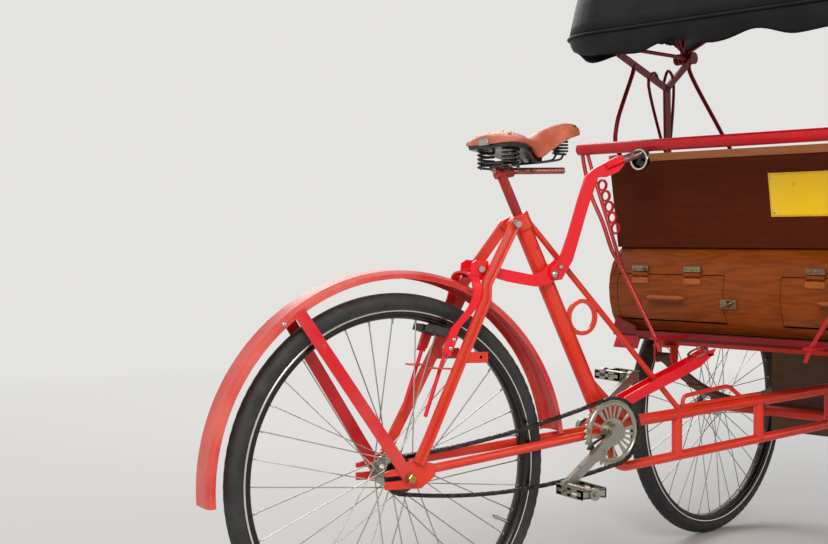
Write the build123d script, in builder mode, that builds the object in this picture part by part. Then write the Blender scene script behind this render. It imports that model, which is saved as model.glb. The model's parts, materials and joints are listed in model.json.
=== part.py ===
from build123d import *
from math import asin, atan2, cos, degrees, hypot, pi, radians, sin, sqrt
import os

# Cycle rickshaw: a rider's half-frame with one rear wheel pushes a two-wheeled passenger cab,
# which turns on a king pin under the seat.
# Millimetres. +X forward, +Y left, +Z up. The rear frame is drawn from the ground under the rear axle,
# the cab from the ground under its king pin, pointing straight ahead.

# Wheels, 28 inch
wheel_radius = 357.0
tyre_section = 38.0
crown_half = 9.0
rim_edge_radius = 322.5
rim_width = 35.0
rim_depth = 16.0
rim_wall = 2.0
spoke_count = 36
spoke_radius = 1.3
flange_radius = 30.0
hub_barrel_radius = 17.0
running_clearance = 0.05
seat_gap = 0.2
axle_radius = 4.75

# Rear wheel's hub and the fork ends that hold it
rear_hub_half = 45.0
dropout_inner = 58.0
dropout_thick = 5.0
strap_thick = 3.0
nut_radius = 10.5
nut_thick = 9.0

# Rider's frame
crank_x = 518.0
crank_z = 405.0
shell_radius = 22.0
shell_half = 32.0
seat_tube_foot_x = 533.0
seat_tube_lean = 26.6
seat_tube_radius = 18.0
seat_tube_length = 516.0
collar_radius = 22.0
collar_length = 48.0
post_radius = 13.0
post_rise = 106.0
post_arm_reach = 178.0
stay_width = 22.0
stay_thick = 8.0
chain_stay_radius = 9.5
upper_tube_radius = 14.0
lower_tube_radius = 12.0
brace_radius = 8.0
pivot_x = 1300.0
head_radius = 26.0
head_low = 338.0
head_high = 484.0
king_pin_radius = 15.0
frame_ring_radius = 25.0
ring_rod_radius = 4.5
tongue_width = 34.0

# Chain drive
chain_pitch = 12.7
chainring_teeth = 40
sprocket_teeth = 18
chain_line = 42.0
crank_length = 170.0
crank_angle = 37.0
crank_inner = 52.0
crank_thick = 13.0
spindle_radius = 8.0
pedal_length = 92.0
pedal_width = 62.0
pedal_height = 22.0
pedal_pin_radius = 5.0

# Cab, drawn straight ahead and then steered
steer_angle = 13.5
axle_ahead = 100.0
half_track = 476.0
front_hub_half = 36.0
beam_radius = 14.0
deck_low = 585.0
board = 12.0
cab_half_width = 400.0
floor_z = 300.0
footwell_half = 300.0
footwell_rear_x = 130.0
footwell_front_x = 560.0
panel_low = (-403.0, 800.0)
panel_high = (-443.0, 1036.0)
panel_low_half = 416.0
panel_high_half = 386.0
barrel_high = (-403.0, 800.0)
barrel_mid = (-455.0, 702.0)
barrel_low = (-415.0, 600.0)
door_top_z = 735.0
door_low_z = 628.0
door_inner_y = 74.0
door_outer_y = 372.0
door_gap = 2.0
door_hinge_x = -452.5
door_hinge_z = 736.0
door_hinges = (157.0, 305.0)
knuckle_radius = 5.0
knuckle_half = 8.0
knuckle_reach = 22.0
hinge_pin_radius = 2.5
bar_x = -540.0
bar_z = 1036.0
bar_radius = 14.0
bar_half = 424.0
spring_y = 340.0
spring_width = 44.0
stand_y = 404.5
stand_rod = 4.0

# Hood
hood_x = -95.0
hood_z = 1297.0
bow_length = 520.0
bow_radius = 5.0
bow_corner = 140.0
bow_first_y = 418.0
bow_step_y = 12.0
bow_angles = (180.0, 128.7, 77.3, 26.0)
cloth_thick = 3.0


def rod(start, end, radius, mode=Mode.ADD):
    line = Vector(*end) - Vector(*start)
    with BuildSketch(Plane(origin=start, z_dir=line)) as section:
        Circle(radius)
    extrude(section.sketch, amount=line.length, mode=mode)


def flat_bar(points, wide, thick, side=(0, 1, 0)):
    with BuildLine() as route:
        Polyline(*points)
    with BuildSketch(Plane(origin=route.line @ 0, x_dir=side, z_dir=route.line % 0)) as section:
        Rectangle(thick, wide)
    sweep(section.sketch, path=route.line, transition=Transition.RIGHT)


def bent_rod(points, radius, bend):
    with BuildLine() as route:
        FilletPolyline(*points, radius=bend)
    with BuildSketch(Plane(origin=route.line @ 0, z_dir=route.line % 0)) as section:
        Circle(radius)
    sweep(section.sketch, path=route.line)


# Outlines are pairs of x and z, and the plate lies between two values of y
def side_plate(outline, low_y, high_y, mode=Mode.ADD):
    with BuildSketch(Plane.XZ.offset(-high_y)) as section:
        with BuildLine():
            Polyline(*outline, close=True)
        make_face()
    extrude(section.sketch, amount=high_y - low_y, mode=mode)


def side_disc(x, z, radius, low_y, high_y, mode=Mode.ADD):
    with BuildSketch(Plane.XZ.offset(-high_y)) as section:
        with Locations((x, z)):
            Circle(radius)
    extrude(section.sketch, amount=high_y - low_y, mode=mode)


def block(low, high, mode=Mode.ADD):
    with BuildSketch(Plane.XY.offset(low[2])) as section:
        with Locations(((low[0] + high[0]) / 2, (low[1] + high[1]) / 2)):
            Rectangle(high[0] - low[0], high[1] - low[1])
    extrude(section.sketch, amount=high[2] - low[2], mode=mode)


finished = []


def keep(part, name, place=Location((0, 0, 0))):
    moved = part.moved(place)
    moved.label = name
    finished.append(moved)


cab_place = Location((pivot_x, 0, 0), (0, 0, steer_angle))

# Wheels
wheel_kinds = (
    # hub half width, flange place, (name, where the hub stands) for each wheel of the kind
    (rear_hub_half, 32.0, (("rear", Location((0, 0, wheel_radius))),)),
    (front_hub_half, 26.0, (
        ("left", cab_place * Location((axle_ahead, half_track, wheel_radius))),
        ("right", cab_place * Location((axle_ahead, -half_track, wheel_radius))),
    )),
)
tyre_ring = wheel_radius - tyre_section / 2
rim_inner = rim_edge_radius - rim_depth
bead_half = rim_width / 2 - rim_wall - seat_gap
for hub_half, flange_y, places in wheel_kinds:
    with BuildPart() as tyre:
        with BuildSketch(Plane.XY) as section:
            with BuildLine():
                Polyline(
                    (rim_inner + rim_wall + seat_gap, -bead_half),
                    (rim_edge_radius + seat_gap, -bead_half),
                    (tyre_ring, -tyre_section / 2),
                    (wheel_radius, -crown_half),
                    (wheel_radius, crown_half),
                    (tyre_ring, tyre_section / 2),
                    (rim_edge_radius + seat_gap, bead_half),
                    (rim_inner + rim_wall + seat_gap, bead_half),
                    close=True,
                )
            make_face()
        revolve(axis=Axis.Y)

    with BuildPart() as rim:
        with BuildSketch(Plane.XY) as section:
            with Locations((rim_inner + rim_depth / 2, 0)):
                Rectangle(rim_depth, rim_width)
            with Locations((rim_inner + rim_depth / 2 + rim_wall, 0)):
                Rectangle(rim_depth, rim_width - 2 * rim_wall, mode=Mode.SUBTRACT)
        revolve(axis=Axis.Y)

    with BuildPart() as hub:
        with BuildSketch(Plane.XY) as section:
            with BuildLine():
                Polyline(
                    (axle_radius + running_clearance, -hub_half),
                    (hub_barrel_radius - 4, -hub_half),
                    (hub_barrel_radius - 4, -flange_y - 3),
                    (flange_radius, -flange_y - 1.5),
                    (flange_radius, -flange_y + 1.5),
                    (hub_barrel_radius, -flange_y + 4),
                    (hub_barrel_radius, flange_y - 4),
                    (flange_radius, flange_y - 1.5),
                    (flange_radius, flange_y + 1.5),
                    (hub_barrel_radius - 4, flange_y + 3),
                    (hub_barrel_radius - 4, hub_half),
                    (axle_radius + running_clearance, hub_half),
                    close=True,
                )
            make_face()
        revolve(axis=Axis.Y)
        for side in (-1, 1):
            for lean in (-1, 1):
                spoke_turn = radians(lean * 68)
                spoke_start = Vector(
                    (flange_radius - 4) * cos(spoke_turn),
                    side * flange_y + lean * spoke_radius * 1.2,
                    (flange_radius - 4) * sin(spoke_turn),
                )
                spoke_end = Vector(rim_inner - seat_gap, 0, 0)
                line = spoke_end - spoke_start
                with BuildSketch(Plane(origin=spoke_start, z_dir=line)) as section:
                    RegularPolygon(spoke_radius, 6)
                spoke = extrude(section.sketch, amount=line.length, mode=Mode.PRIVATE)
                first_turn = (side + 1) * 5 + (lean + 1) * 10
                turned = [
                    spoke.moved(Location((0, 0, 0), (0, first_turn + 40 * count, 0)))
                    for count in range(spoke_count // 4)
                ]
                add(turned)
    for name, place in places:
        keep(tyre.part, name + "_tyre", place)
        keep(rim.part, name + "_rim", place)
        keep(hub.part, name + "_spokes", place)

# Rider's frame
lean = radians(seat_tube_lean)
tube_up = Vector(-sin(lean), 0, cos(lean))
tube_back = Vector(-cos(lean), 0, -sin(lean))
tube_foot = Vector(seat_tube_foot_x, 0, crank_z)


def on_seat_tube(along, behind=0.0, y=0.0):
    return tube_foot + tube_up * along + tube_back * behind + Vector(0, y, 0)


def flat(point):
    return (point.X, point.Z)


ear_along = seat_tube_length - 22
ear_behind = 34.0
ear_inner = 8.0
ear_thick = 7.0
ring_centre = on_seat_tube(255, -(seat_tube_radius + frame_ring_radius + ring_rod_radius - 1))
with BuildPart() as seat_tube:
    side_disc(crank_x, crank_z, shell_radius, -shell_half, shell_half)
    rod(on_seat_tube(0), on_seat_tube(seat_tube_length), seat_tube_radius)
    rod(on_seat_tube(seat_tube_length - collar_length), on_seat_tube(seat_tube_length), collar_radius)
    for side in (-1, 1):
        ear_y = side * (ear_inner + ear_thick / 2)
        flat_bar(
            (on_seat_tube(ear_along, 12, ear_y), on_seat_tube(ear_along, ear_behind + 12, ear_y)),
            30,
            ear_thick,
        )
    side_plate(
        (
            (crank_x + 12, crank_z + 12),
            flat(on_seat_tube(90)),
            (crank_x + 58, crank_z + 28),
            (crank_x + 60, crank_z + 14),
        ),
        -3,
        3,
    )
    with BuildSketch(Plane(origin=ring_centre + Vector(frame_ring_radius, 0, 0), z_dir=(0, 0, 1))) as section:
        Circle(ring_rod_radius)
    revolve(section.sketch, axis=Axis(ring_centre, (0, 1, 0)))
    rod(
        on_seat_tube(seat_tube_length - 130),
        on_seat_tube(seat_tube_length + 1),
        post_radius + seat_gap,
        mode=Mode.SUBTRACT,
    )
    side_disc(
        crank_x,
        crank_z,
        spindle_radius + running_clearance,
        -shell_half,
        shell_half,
        mode=Mode.SUBTRACT,
    )
keep(seat_tube.part, "seat_tube")

post_top = on_seat_tube(seat_tube_length + post_rise)
with BuildPart() as seat_post:
    rod(on_seat_tube(seat_tube_length - 110), post_top, post_radius)
    rod(post_top - Vector(14, 0, 0), post_top + Vector(post_arm_reach, 0, 6), 10)
keep(seat_post.part, "seat_post")

# Main tubes slope up a little from the crank to the head at the king pin
upper_rear = Vector(crank_x + shell_radius - 2, 0, 412)
upper_front = Vector(pivot_x, 0, 458)
lower_rear = Vector(crank_x + 40, 0, 318)
lower_front = Vector(pivot_x, 0, 372)
post_places = (737.0, 989.0, 1224.0)
with BuildPart() as main_tubes:
    rod(upper_rear + Vector(1, 0, 0), upper_front, upper_tube_radius)
    rod(lower_rear, lower_front, lower_tube_radius)
    for post in post_places:
        share = (post - lower_rear.X) / (lower_front.X - lower_rear.X)
        low = lower_rear + (lower_front - lower_rear) * share
        share = (post - upper_rear.X) / (upper_front.X - upper_rear.X)
        high = upper_rear + (upper_front - upper_rear) * share
        rod(low, high, 11)
    rod(lower_rear + Vector(6, 0, 0), Vector(crank_x + 16, 0, crank_z - shell_radius + 2), 11)
    rod((pivot_x, 0, head_low), (pivot_x, 0, head_high), head_radius)
    bent_rod(
        (
            Vector(750, 0, upper_rear.Z + 12),
            Vector(764, 0, 456),
            Vector(888, 0, 474),
            Vector(930, 0, 440),
        ),
        5,
        12,
    )
    side_disc(crank_x, crank_z, shell_radius, -shell_half, shell_half, mode=Mode.SUBTRACT)
    rod(
        (pivot_x, 0, head_low - 1),
        (pivot_x, 0, head_high + 1),
        king_pin_radius + running_clearance,
        mode=Mode.SUBTRACT,
    )
keep(main_tubes.part - seat_tube.part, "main_tubes")

brace_low = Vector(727, 0, 422)
brace_high = on_seat_tube(seat_tube_length - collar_length / 2, -collar_radius + 6)
with BuildPart() as brace_tube:
    rod(brace_low, brace_high, brace_radius)
    rod(
        on_seat_tube(seat_tube_length - collar_length - 20),
        on_seat_tube(seat_tube_length + 20),
        collar_radius,
        mode=Mode.SUBTRACT,
    )
keep(brace_tube.part - main_tubes.part - seat_tube.part, "brace_tube")

# Fork ends, chain stays and seat stays
dropout_outer = dropout_inner + dropout_thick
strap_y = dropout_outer + seat_gap + strap_thick / 2
dropout_outline = (
    (-50, wheel_radius - 20),
    (30, wheel_radius - 24),
    (62, wheel_radius - 2),
    (60, wheel_radius + 22),
    (10, wheel_radius + 34),
    (-22, wheel_radius + 20),
    (-50, wheel_radius + 14),
)
with BuildPart() as chain_stays:
    for side in (-1, 1):
        near_y = side * (dropout_inner + dropout_thick / 2)
        side_plate(dropout_outline, near_y - dropout_thick / 2, near_y + dropout_thick / 2)
        rod(
            (crank_x - 10, side * 22, crank_z - 2),
            (55, side * (dropout_inner - 7), wheel_radius + 10),
            chain_stay_radius,
        )
        side_disc(0, wheel_radius, axle_radius + seat_gap, near_y - 4, near_y + 4, mode=Mode.SUBTRACT)
        side_plate(
            (
                (0, wheel_radius - axle_radius - seat_gap),
                (0, wheel_radius + axle_radius + seat_gap),
                (-60, wheel_radius + axle_radius + seat_gap),
                (-60, wheel_radius - axle_radius - seat_gap),
            ),
            near_y - 4,
            near_y + 4,
            mode=Mode.SUBTRACT,
        )
keep(chain_stays.part - seat_tube.part, "chain_stays")

stay_outer = dropout_outer + 3 * seat_gap + stay_thick / 2
stay_top = on_seat_tube(ear_along, ear_behind)
stay_points = (
    # x, y, z down the stay from the collar's ear to the fork end
    (stay_top.X, ear_inner + ear_thick + seat_gap + stay_thick / 2, stay_top.Z),
    (196, 44, 727),
    (188, 48, 697),
    (45, stay_outer, wheel_radius + 73),
    (20, stay_outer, wheel_radius + 26),
)
groove_wide = 8.0
groove_deep = 3.5
with BuildPart() as seat_stays:
    for side in (-1, 1):
        points = [Vector(x, side * y, z) for x, y, z in stay_points]
        flat_bar(points, stay_width, stay_thick)
        tab = Vector(188 - 60, side * 55, 583)
        flat_bar((tab, tab + Vector(62, -side * 5, 0)), 24, 3, side=(0, 1, 0))
        loop_start = Vector(118, side * 55, 560)
        flat_bar((loop_start, loop_start - Vector(44, 0, 0)), 16, 4)
keep(seat_stays.part, "seat_stays")

nut_inner = strap_y + strap_thick / 2 + seat_gap
with BuildPart() as rear_axle:
    side_disc(0, wheel_radius, axle_radius, -nut_inner - nut_thick - 6, nut_inner + nut_thick + 6)
    for side in (-1, 1):
        with BuildSketch(Plane.XZ.offset(-side * (nut_inner + nut_thick / 2))) as section:
            with Locations((0, wheel_radius)):
                RegularPolygon(nut_radius, 6)
        extrude(section.sketch, amount=nut_thick / 2, both=True)
        collar_y = side * (rear_hub_half + dropout_inner) / 2
        side_disc(0, wheel_radius, 8, collar_y - 6, collar_y + 6)
keep(rear_axle.part, "rear_axle")

# Rear mudguard, a shallow channel bent round the wheel
guard_radius = 402.0
guard_half = 36.0
guard_wall = 2.5
guard_lip = 16.0
guard_from = 8.0
guard_turn = 176.0
with BuildPart() as rear_mudguard:
    with BuildSketch(Plane(origin=(0, 0, wheel_radius), x_dir=(1, 0, 0), z_dir=(0, 0, 1))) as section:
        with BuildLine():
            Polyline(
                (guard_radius - guard_lip, -guard_half),
                (guard_radius - 6, -guard_half),
                (guard_radius, -guard_half + 12),
                (guard_radius, guard_half - 12),
                (guard_radius - 6, guard_half),
                (guard_radius - guard_lip, guard_half),
                (guard_radius - guard_lip, guard_half - guard_wall),
                (guard_radius - 6 - guard_wall / 2, guard_half - guard_wall),
                (guard_radius - guard_wall, guard_half - 12 - guard_wall / 2),
                (guard_radius - guard_wall, -guard_half + 12 + guard_wall / 2),
                (guard_radius - 6 - guard_wall / 2, -guard_half + guard_wall),
                (guard_radius - guard_lip, -guard_half + guard_wall),
                close=True,
            )
        make_face()
    revolve(section.sketch, axis=Axis((0, 0, wheel_radius), (0, -1, 0)), revolution_arc=guard_turn)
keep(rear_mudguard.part.rotate(Axis((0, 0, wheel_radius), (0, -1, 0)), guard_from), "rear_mudguard")
guard_strap_x = -220.0
guard_strap_z = wheel_radius + sqrt((guard_radius - guard_lip / 2) ** 2 - guard_strap_x**2)
with BuildPart() as mudguard_straps:
    for side in (-1, 1):
        top = Vector(guard_strap_x, side * (guard_half + seat_gap + strap_thick / 2), guard_strap_z)
        foot = Vector(0, side * strap_y, wheel_radius)
        bend = foot + Vector(guard_strap_x, 0, guard_strap_z - wheel_radius).normalized() * 60
        flat_bar((top, bend, foot), 25, strap_thick)
        side_disc(0, wheel_radius, 14, side * strap_y - strap_thick / 2, side * strap_y + strap_thick / 2)
        side_disc(0, wheel_radius, axle_radius + seat_gap, side * strap_y - 4, side * strap_y + 4, mode=Mode.SUBTRACT)
keep(mudguard_straps.part, "mudguard_straps")

# Crimson channel that reaches under the cab, and its ring
tongue_foot = Vector(578, 0, 446)
tongue_tip = Vector(842, 0, 560)
tongue_line = (tongue_tip - tongue_foot).normalized()
tongue_up = Vector(-tongue_line.Z, 0, tongue_line.X)
with BuildPart() as rest_tongue:
    with BuildSketch(Plane(origin=tongue_foot, x_dir=(0, 1, 0), z_dir=tongue_line)) as section:
        Rectangle(tongue_width, 24)
        with Locations((0, 4)):
            Rectangle(tongue_width - 6, 24, mode=Mode.SUBTRACT)
    extrude(section.sketch, amount=(tongue_tip - tongue_foot).length)
keep(rest_tongue.part - main_tubes.part - brace_tube.part - seat_tube.part, "rest_tongue")

# Rear brake: lever beside the seat tube, stirrup over the mudguard, blocks inside the rim
lever_y = -(collar_radius + 4.0)
lever_pivot = on_seat_tube(382)
with BuildPart() as brake_lever:
    flat_bar(
        (
            Vector(478, lever_y, 946),
            Vector(388, lever_y, 772),
            Vector(lever_pivot.X + 2, lever_y, lever_pivot.Z - 8),
            Vector(320, lever_y, 736),
            Vector(182, lever_y, 760),
        ),
        28,
        6,
    )
    rod((478 - 8, lever_y, 946), (604, lever_y, 1014), 11)
    side_disc(lever_pivot.X, lever_pivot.Z, 7, lever_y - 8, -seat_tube_radius - seat_gap)
keep(brake_lever.part, "brake_lever")

stirrup_points = (
    # x, y, z down one side of the stirrup
    (166, 0, 770),
    (168, 42, 742),
    (160, 47, 690),
    (118, 47, 646),
    (86, 47, 590),
)
with BuildPart() as brake_stirrup:
    for side in (-1, 1):
        flat_bar([Vector(x, side * y, z) for x, y, z in stirrup_points], 4, 20, side=(1, 0, 0))
        rod((86, side * 47, 592), (46, side * 47, 470), 5)
keep(brake_stirrup.part - seat_stays.part, "brake_stirrup")

shoe_x = 92.0
shoe_z = 628.0
shoe_outer = rim_inner - 5.0
shoe_tall = 14.0
shoe_turn = degrees(atan2(shoe_x, shoe_z - wheel_radius))
with BuildPart() as brake_shoes:
    for side in (-1, 1):
        with BuildSketch(
            Plane(
                origin=(0, side * 6, wheel_radius),
                x_dir=(cos(radians(shoe_turn)), 0, -sin(radians(shoe_turn))),
                z_dir=(0, side, 0),
            )
        ) as section:
            with Locations((0, -side * (shoe_outer - shoe_tall / 2))):
                Rectangle(46, shoe_tall)
        extrude(section.sketch, amount=12)
        extrude(section.sketch, amount=38.8)
keep(brake_shoes.part - brake_stirrup.part, "brake_shoes")

# Saddle: leather top on springs
saddle_base = post_top + Vector(0, 0, 14)
saddle_sections = (
    # x, half width, top z, bottom z
    (186, 62, 1020, 996),
    (210, 96, 1030, 992),
    (265, 98, 1034, 990),
    (330, 52, 1036, 994),
    (400, 30, 1052, 1010),
    (452, 20, 1060, 1028),
)
with BuildPart() as saddle_top:
    for x, half, top, low in saddle_sections:
        with BuildSketch(Plane(origin=(x, 0, 0), x_dir=(0, 1, 0), z_dir=(1, 0, 0))):
            with Locations((0, (top + low) / 2)):
                RectangleRounded(2 * half, top - low, 10)
    loft(ruled=True)
keep(saddle_top.part, "saddle_top")
with BuildPart() as saddle_springs:
    for side in (-1, 1):
        rod((214, side * 52, 946), (214, side * 52, 996), 15)
        bent_rod(
            (
                Vector(214, side * 52, 950),
                Vector(300, side * 26, 944),
                Vector(412, side * 16, 978),
                Vector(430, side * 14, 1012),
            ),
            3.5,
            20,
        )
    rod((214, -52, 955), (214, 52, 955), 4)
    side_disc(post_top.X, post_top.Z + post_radius + 6, 12, -30, 30)
keep(saddle_springs.part - seat_post.part - saddle_top.part, "saddle_springs")


# Chain drive on the right-hand side
def pitch_radius(teeth):
    return chain_pitch / (2 * sin(pi / teeth))


ring_pitch = pitch_radius(chainring_teeth)
sprocket_pitch = pitch_radius(sprocket_teeth)
near_angle = radians(180 + crank_angle)
right_pin = Vector(crank_x + crank_length * cos(near_angle), 0, crank_z + crank_length * sin(near_angle))
left_pin = Vector(2 * crank_x - right_pin.X, 0, 2 * crank_z - right_pin.Z)
with BuildPart() as cranks:
    side_disc(crank_x, crank_z, spindle_radius, -crank_inner - crank_thick, crank_inner + crank_thick)
    for side, pin in ((-1, right_pin), (1, left_pin)):
        low_y = min(side * crank_inner, side * (crank_inner + crank_thick))
        direction = (pin - Vector(crank_x, 0, crank_z)).normalized()
        middle = Vector(crank_x, low_y + crank_thick / 2, crank_z) + direction * crank_length / 2
        with BuildSketch(Plane(origin=Vector(crank_x, low_y + crank_thick / 2, crank_z), x_dir=(0, 1, 0), z_dir=direction)) as section:
            Rectangle(crank_thick, 20)
        extrude(section.sketch, amount=crank_length)
        side_disc(crank_x, crank_z, 18, low_y, low_y + crank_thick)
        side_disc(pin.X, pin.Z, 13, low_y, low_y + crank_thick)
        outer = side * (crank_inner + crank_thick)
        pin_end = side * (crank_inner + crank_thick + pedal_length + 8)
        side_disc(pin.X, pin.Z, pedal_pin_radius, min(outer, pin_end), max(outer, pin_end))
keep(cranks.part, "cranks")

with BuildPart() as chainring:
    side_disc(crank_x, crank_z, ring_pitch - 4, -chain_line - 1.5, -chain_line + 1.5)
    side_disc(crank_x, crank_z, ring_pitch - 16, -chain_line - 2, -chain_line + 2, mode=Mode.SUBTRACT)
    for count in range(5):
        turn = radians(72 * count + 20)
        arm_end = Vector(crank_x + (ring_pitch - 12) * cos(turn), -chain_line, crank_z + (ring_pitch - 12) * sin(turn))
        flat_bar((Vector(crank_x, -chain_line, crank_z), arm_end), 14, 3)
    side_disc(crank_x, crank_z, 22, -crank_inner + seat_gap, -chain_line + 1.5)
    side_disc(
        crank_x,
        crank_z,
        spindle_radius + seat_gap,
        -crank_inner - 1,
        -chain_line + 3,
        mode=Mode.SUBTRACT,
    )
keep(chainring.part, "chainring")

with BuildPart() as sprocket:
    side_disc(0, wheel_radius, sprocket_pitch - 4, -chain_line - 1.5, -chain_line + 1.5)
    side_disc(0, wheel_radius, hub_barrel_radius - 4 + seat_gap, -chain_line - 2, -chain_line + 2, mode=Mode.SUBTRACT)
keep(sprocket.part, "rear_sprocket")

# The chain is a band round both sprockets
chain_half = 4.0
chain_width = 6.0
spread = hypot(crank_x, crank_z - wheel_radius)
chain_tilt = degrees(atan2(crank_z - wheel_radius, crank_x))
chain_plane = Plane(origin=(0, -chain_line, wheel_radius), x_dir=(cos(radians(chain_tilt)), 0, sin(radians(chain_tilt))), z_dir=(0, -1, 0))


def chain_loop(grow):
    small = sprocket_pitch + grow
    large = ring_pitch + grow
    side_turn = asin((ring_pitch - sprocket_pitch) / spread)
    with BuildSketch(chain_plane) as loop:
        Circle(small)
        with Locations((spread, 0)):
            Circle(large)
        with BuildLine():
            Polyline(
                (-small * sin(side_turn), small * cos(side_turn)),
                (spread - large * sin(side_turn), large * cos(side_turn)),
                (spread - large * sin(side_turn), -large * cos(side_turn)),
                (-small * sin(side_turn), -small * cos(side_turn)),
                close=True,
            )
        make_face()
    return loop.sketch


with BuildPart() as chain:
    extrude(chain_loop(chain_half), amount=chain_width / 2, both=True)
    extrude(chain_loop(-chain_half + 0.3), amount=chain_width, both=True, mode=Mode.SUBTRACT)
keep(chain.part, "chain")

for name, side, pin in (("right", -1, right_pin), ("left", 1, left_pin)):
    inner = side * (crank_inner + crank_thick + 3)
    outer = inner + side * pedal_length
    low_y = min(inner, outer)
    high_y = max(inner, outer)
    with BuildPart() as pedal:
        side_disc(pin.X, pin.Z, 10, low_y, high_y)
        for end in (low_y + 3, high_y - 3):
            block(
                (pin.X - pedal_width / 2, end - 3, pin.Z - pedal_height / 2),
                (pin.X + pedal_width / 2, end + 3, pin.Z + pedal_height / 2),
            )
        for edge in (-1, 1):
            edge_x = pin.X + edge * (pedal_width / 2 - 2)
            block((edge_x - 2, low_y, pin.Z - pedal_height / 2), (edge_x + 2, high_y, pin.Z + pedal_height / 2))
        side_disc(pin.X, pin.Z, pedal_pin_radius + running_clearance, low_y - 1, high_y + 1, mode=Mode.SUBTRACT)
    keep(pedal.part, name + "_pedal")

# Cab: axle beam with the king pin's fork
with BuildPart() as front_axle:
    side_disc(axle_ahead, wheel_radius, beam_radius, -half_track + front_hub_half + 1, half_track - front_hub_half - 1)
    axle_end = half_track + front_hub_half + 12
    side_disc(axle_ahead, wheel_radius, axle_radius, -axle_end, axle_end)
    for side in (-1, 1):
        with BuildSketch(Plane.XZ.offset(-side * (half_track + front_hub_half + 5))) as section:
            with Locations((axle_ahead, wheel_radius)):
                RegularPolygon(nut_radius, 6)
        extrude(section.sketch, amount=4, both=True)
    block((axle_ahead - 16, -22, head_low - 16), (axle_ahead + 14, 22, head_high + 16))
    for low in (head_low - 16, head_high + 4):
        block((0, -22, low), (axle_ahead, 22, low + 12))
        with BuildSketch(Plane.XY.offset(low)) as section:
            Circle(head_radius)
        extrude(section.sketch, amount=12)
    rod((0, 0, head_low - 16), (0, 0, head_high + 26), king_pin_radius)
keep(front_axle.part, "front_axle", cab_place)

# Leaf springs sit on the beam and carry the rails
spring_half = 400.0
eye_z = 523.0
eye_radius = 12.0
eye_pin_radius = 6.0
cheek_thick = 5.0
leaf_thick = 7.0
leaf_low = wheel_radius + beam_radius + seat_gap


def leaf(reach, low):
    sag = (eye_z - leaf_low - 2.5 * leaf_thick) * (reach / spring_half) ** 2
    with BuildSketch(Plane.XZ.offset(-spring_y - spring_width / 2)) as section:
        with BuildLine():
            top = ThreePointArc(
                (axle_ahead - reach, low + leaf_thick + sag),
                (axle_ahead, low + leaf_thick),
                (axle_ahead + reach, low + leaf_thick + sag),
            )
            under = ThreePointArc(
                (axle_ahead - reach, low + sag),
                (axle_ahead, low),
                (axle_ahead + reach, low + sag),
            )
            Line(top @ 0, under @ 0)
            Line(top @ 1, under @ 1)
        make_face()
    return section.sketch


with BuildPart() as leaf_springs:
    for side in (-1, 1):
        for count, reach in enumerate((170, 280, spring_half)):
            strip = leaf(reach, leaf_low + count * leaf_thick)
            extrude(strip.moved(Location((0, (side - 1) * spring_y, 0))), amount=spring_width)
        low_y = side * spring_y - spring_width / 2
        high_y = side * spring_y + spring_width / 2
        for end in (-1, 1):
            eye_x = axle_ahead + end * spring_half
            side_disc(eye_x, eye_z, eye_radius, low_y, high_y)
            side_disc(eye_x, eye_z, eye_pin_radius + seat_gap, low_y, high_y, mode=Mode.SUBTRACT)
keep(leaf_springs.part, "leaf_springs", cab_place)

rail_low = deck_low - 30
with BuildPart() as subframe:
    for side in (-1, 1):
        block((-330, side * spring_y - 15, rail_low), (530, side * spring_y + 15, deck_low))
        for end in (-1, 1):
            eye_x = axle_ahead + end * spring_half
            cheek_low = spring_width / 2 + seat_gap
            cheek_high = cheek_low + cheek_thick
            block(
                (eye_x - 18, side * spring_y - cheek_high, rail_low - 6),
                (eye_x + 18, side * spring_y + cheek_high, rail_low),
            )
            for face in (-1, 1):
                near_y = side * spring_y + face * cheek_low
                far_y = side * spring_y + face * cheek_high
                block(
                    (eye_x - 14, min(near_y, far_y), eye_z),
                    (eye_x + 14, max(near_y, far_y), rail_low),
                )
                side_disc(eye_x, eye_z, 14, min(near_y, far_y), max(near_y, far_y))
            side_disc(
                eye_x,
                eye_z,
                eye_pin_radius,
                side * spring_y - cheek_high,
                side * spring_y + cheek_high,
            )
    for cross in (-300, 460):
        block((cross, -spring_y, rail_low), (cross + 30, spring_y, deck_low))
keep(subframe.part, "subframe", cab_place)

with BuildPart() as deck:
    block((-430, -cab_half_width + board, deck_low), (footwell_rear_x, cab_half_width - board, deck_low + board))
keep(deck.part, "deck", cab_place)

footwell_outline = (
    (footwell_rear_x, rail_low - seat_gap),
    (footwell_rear_x, floor_z),
    (footwell_front_x, floor_z),
    (footwell_front_x + 60, floor_z + 220),
    (footwell_front_x - 80, rail_low - seat_gap),
)
with BuildPart() as footwell:
    side_plate(footwell_outline, -footwell_half, footwell_half)
    side_plate(
        (
            (footwell_rear_x + board, rail_low + 10),
            (footwell_rear_x + board, floor_z + board),
            (footwell_front_x - board, floor_z + board),
            (footwell_front_x - board + 68, rail_low + 10),
        ),
        -footwell_half + board,
        footwell_half - board,
        mode=Mode.SUBTRACT,
    )
keep(footwell.part, "footwell", cab_place)

side_outline = (
    (panel_low[0] + 0.5, deck_low),
    (panel_low[0] + 0.5, panel_low[1]),
    (panel_high[0] + 2, panel_high[1] - 10),
    (-400, 1010),
    (-250, 920),
    (-120, 880),
    (250, 880),
    (330, 820),
    (340, deck_low),
)
with BuildPart() as side_panels:
    for side in (-1, 1):
        inner = side * (cab_half_width - board)
        outer = side * cab_half_width
        side_plate(side_outline, min(inner, outer), max(inner, outer))
keep(side_panels.part, "side_panels", cab_place)

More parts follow.
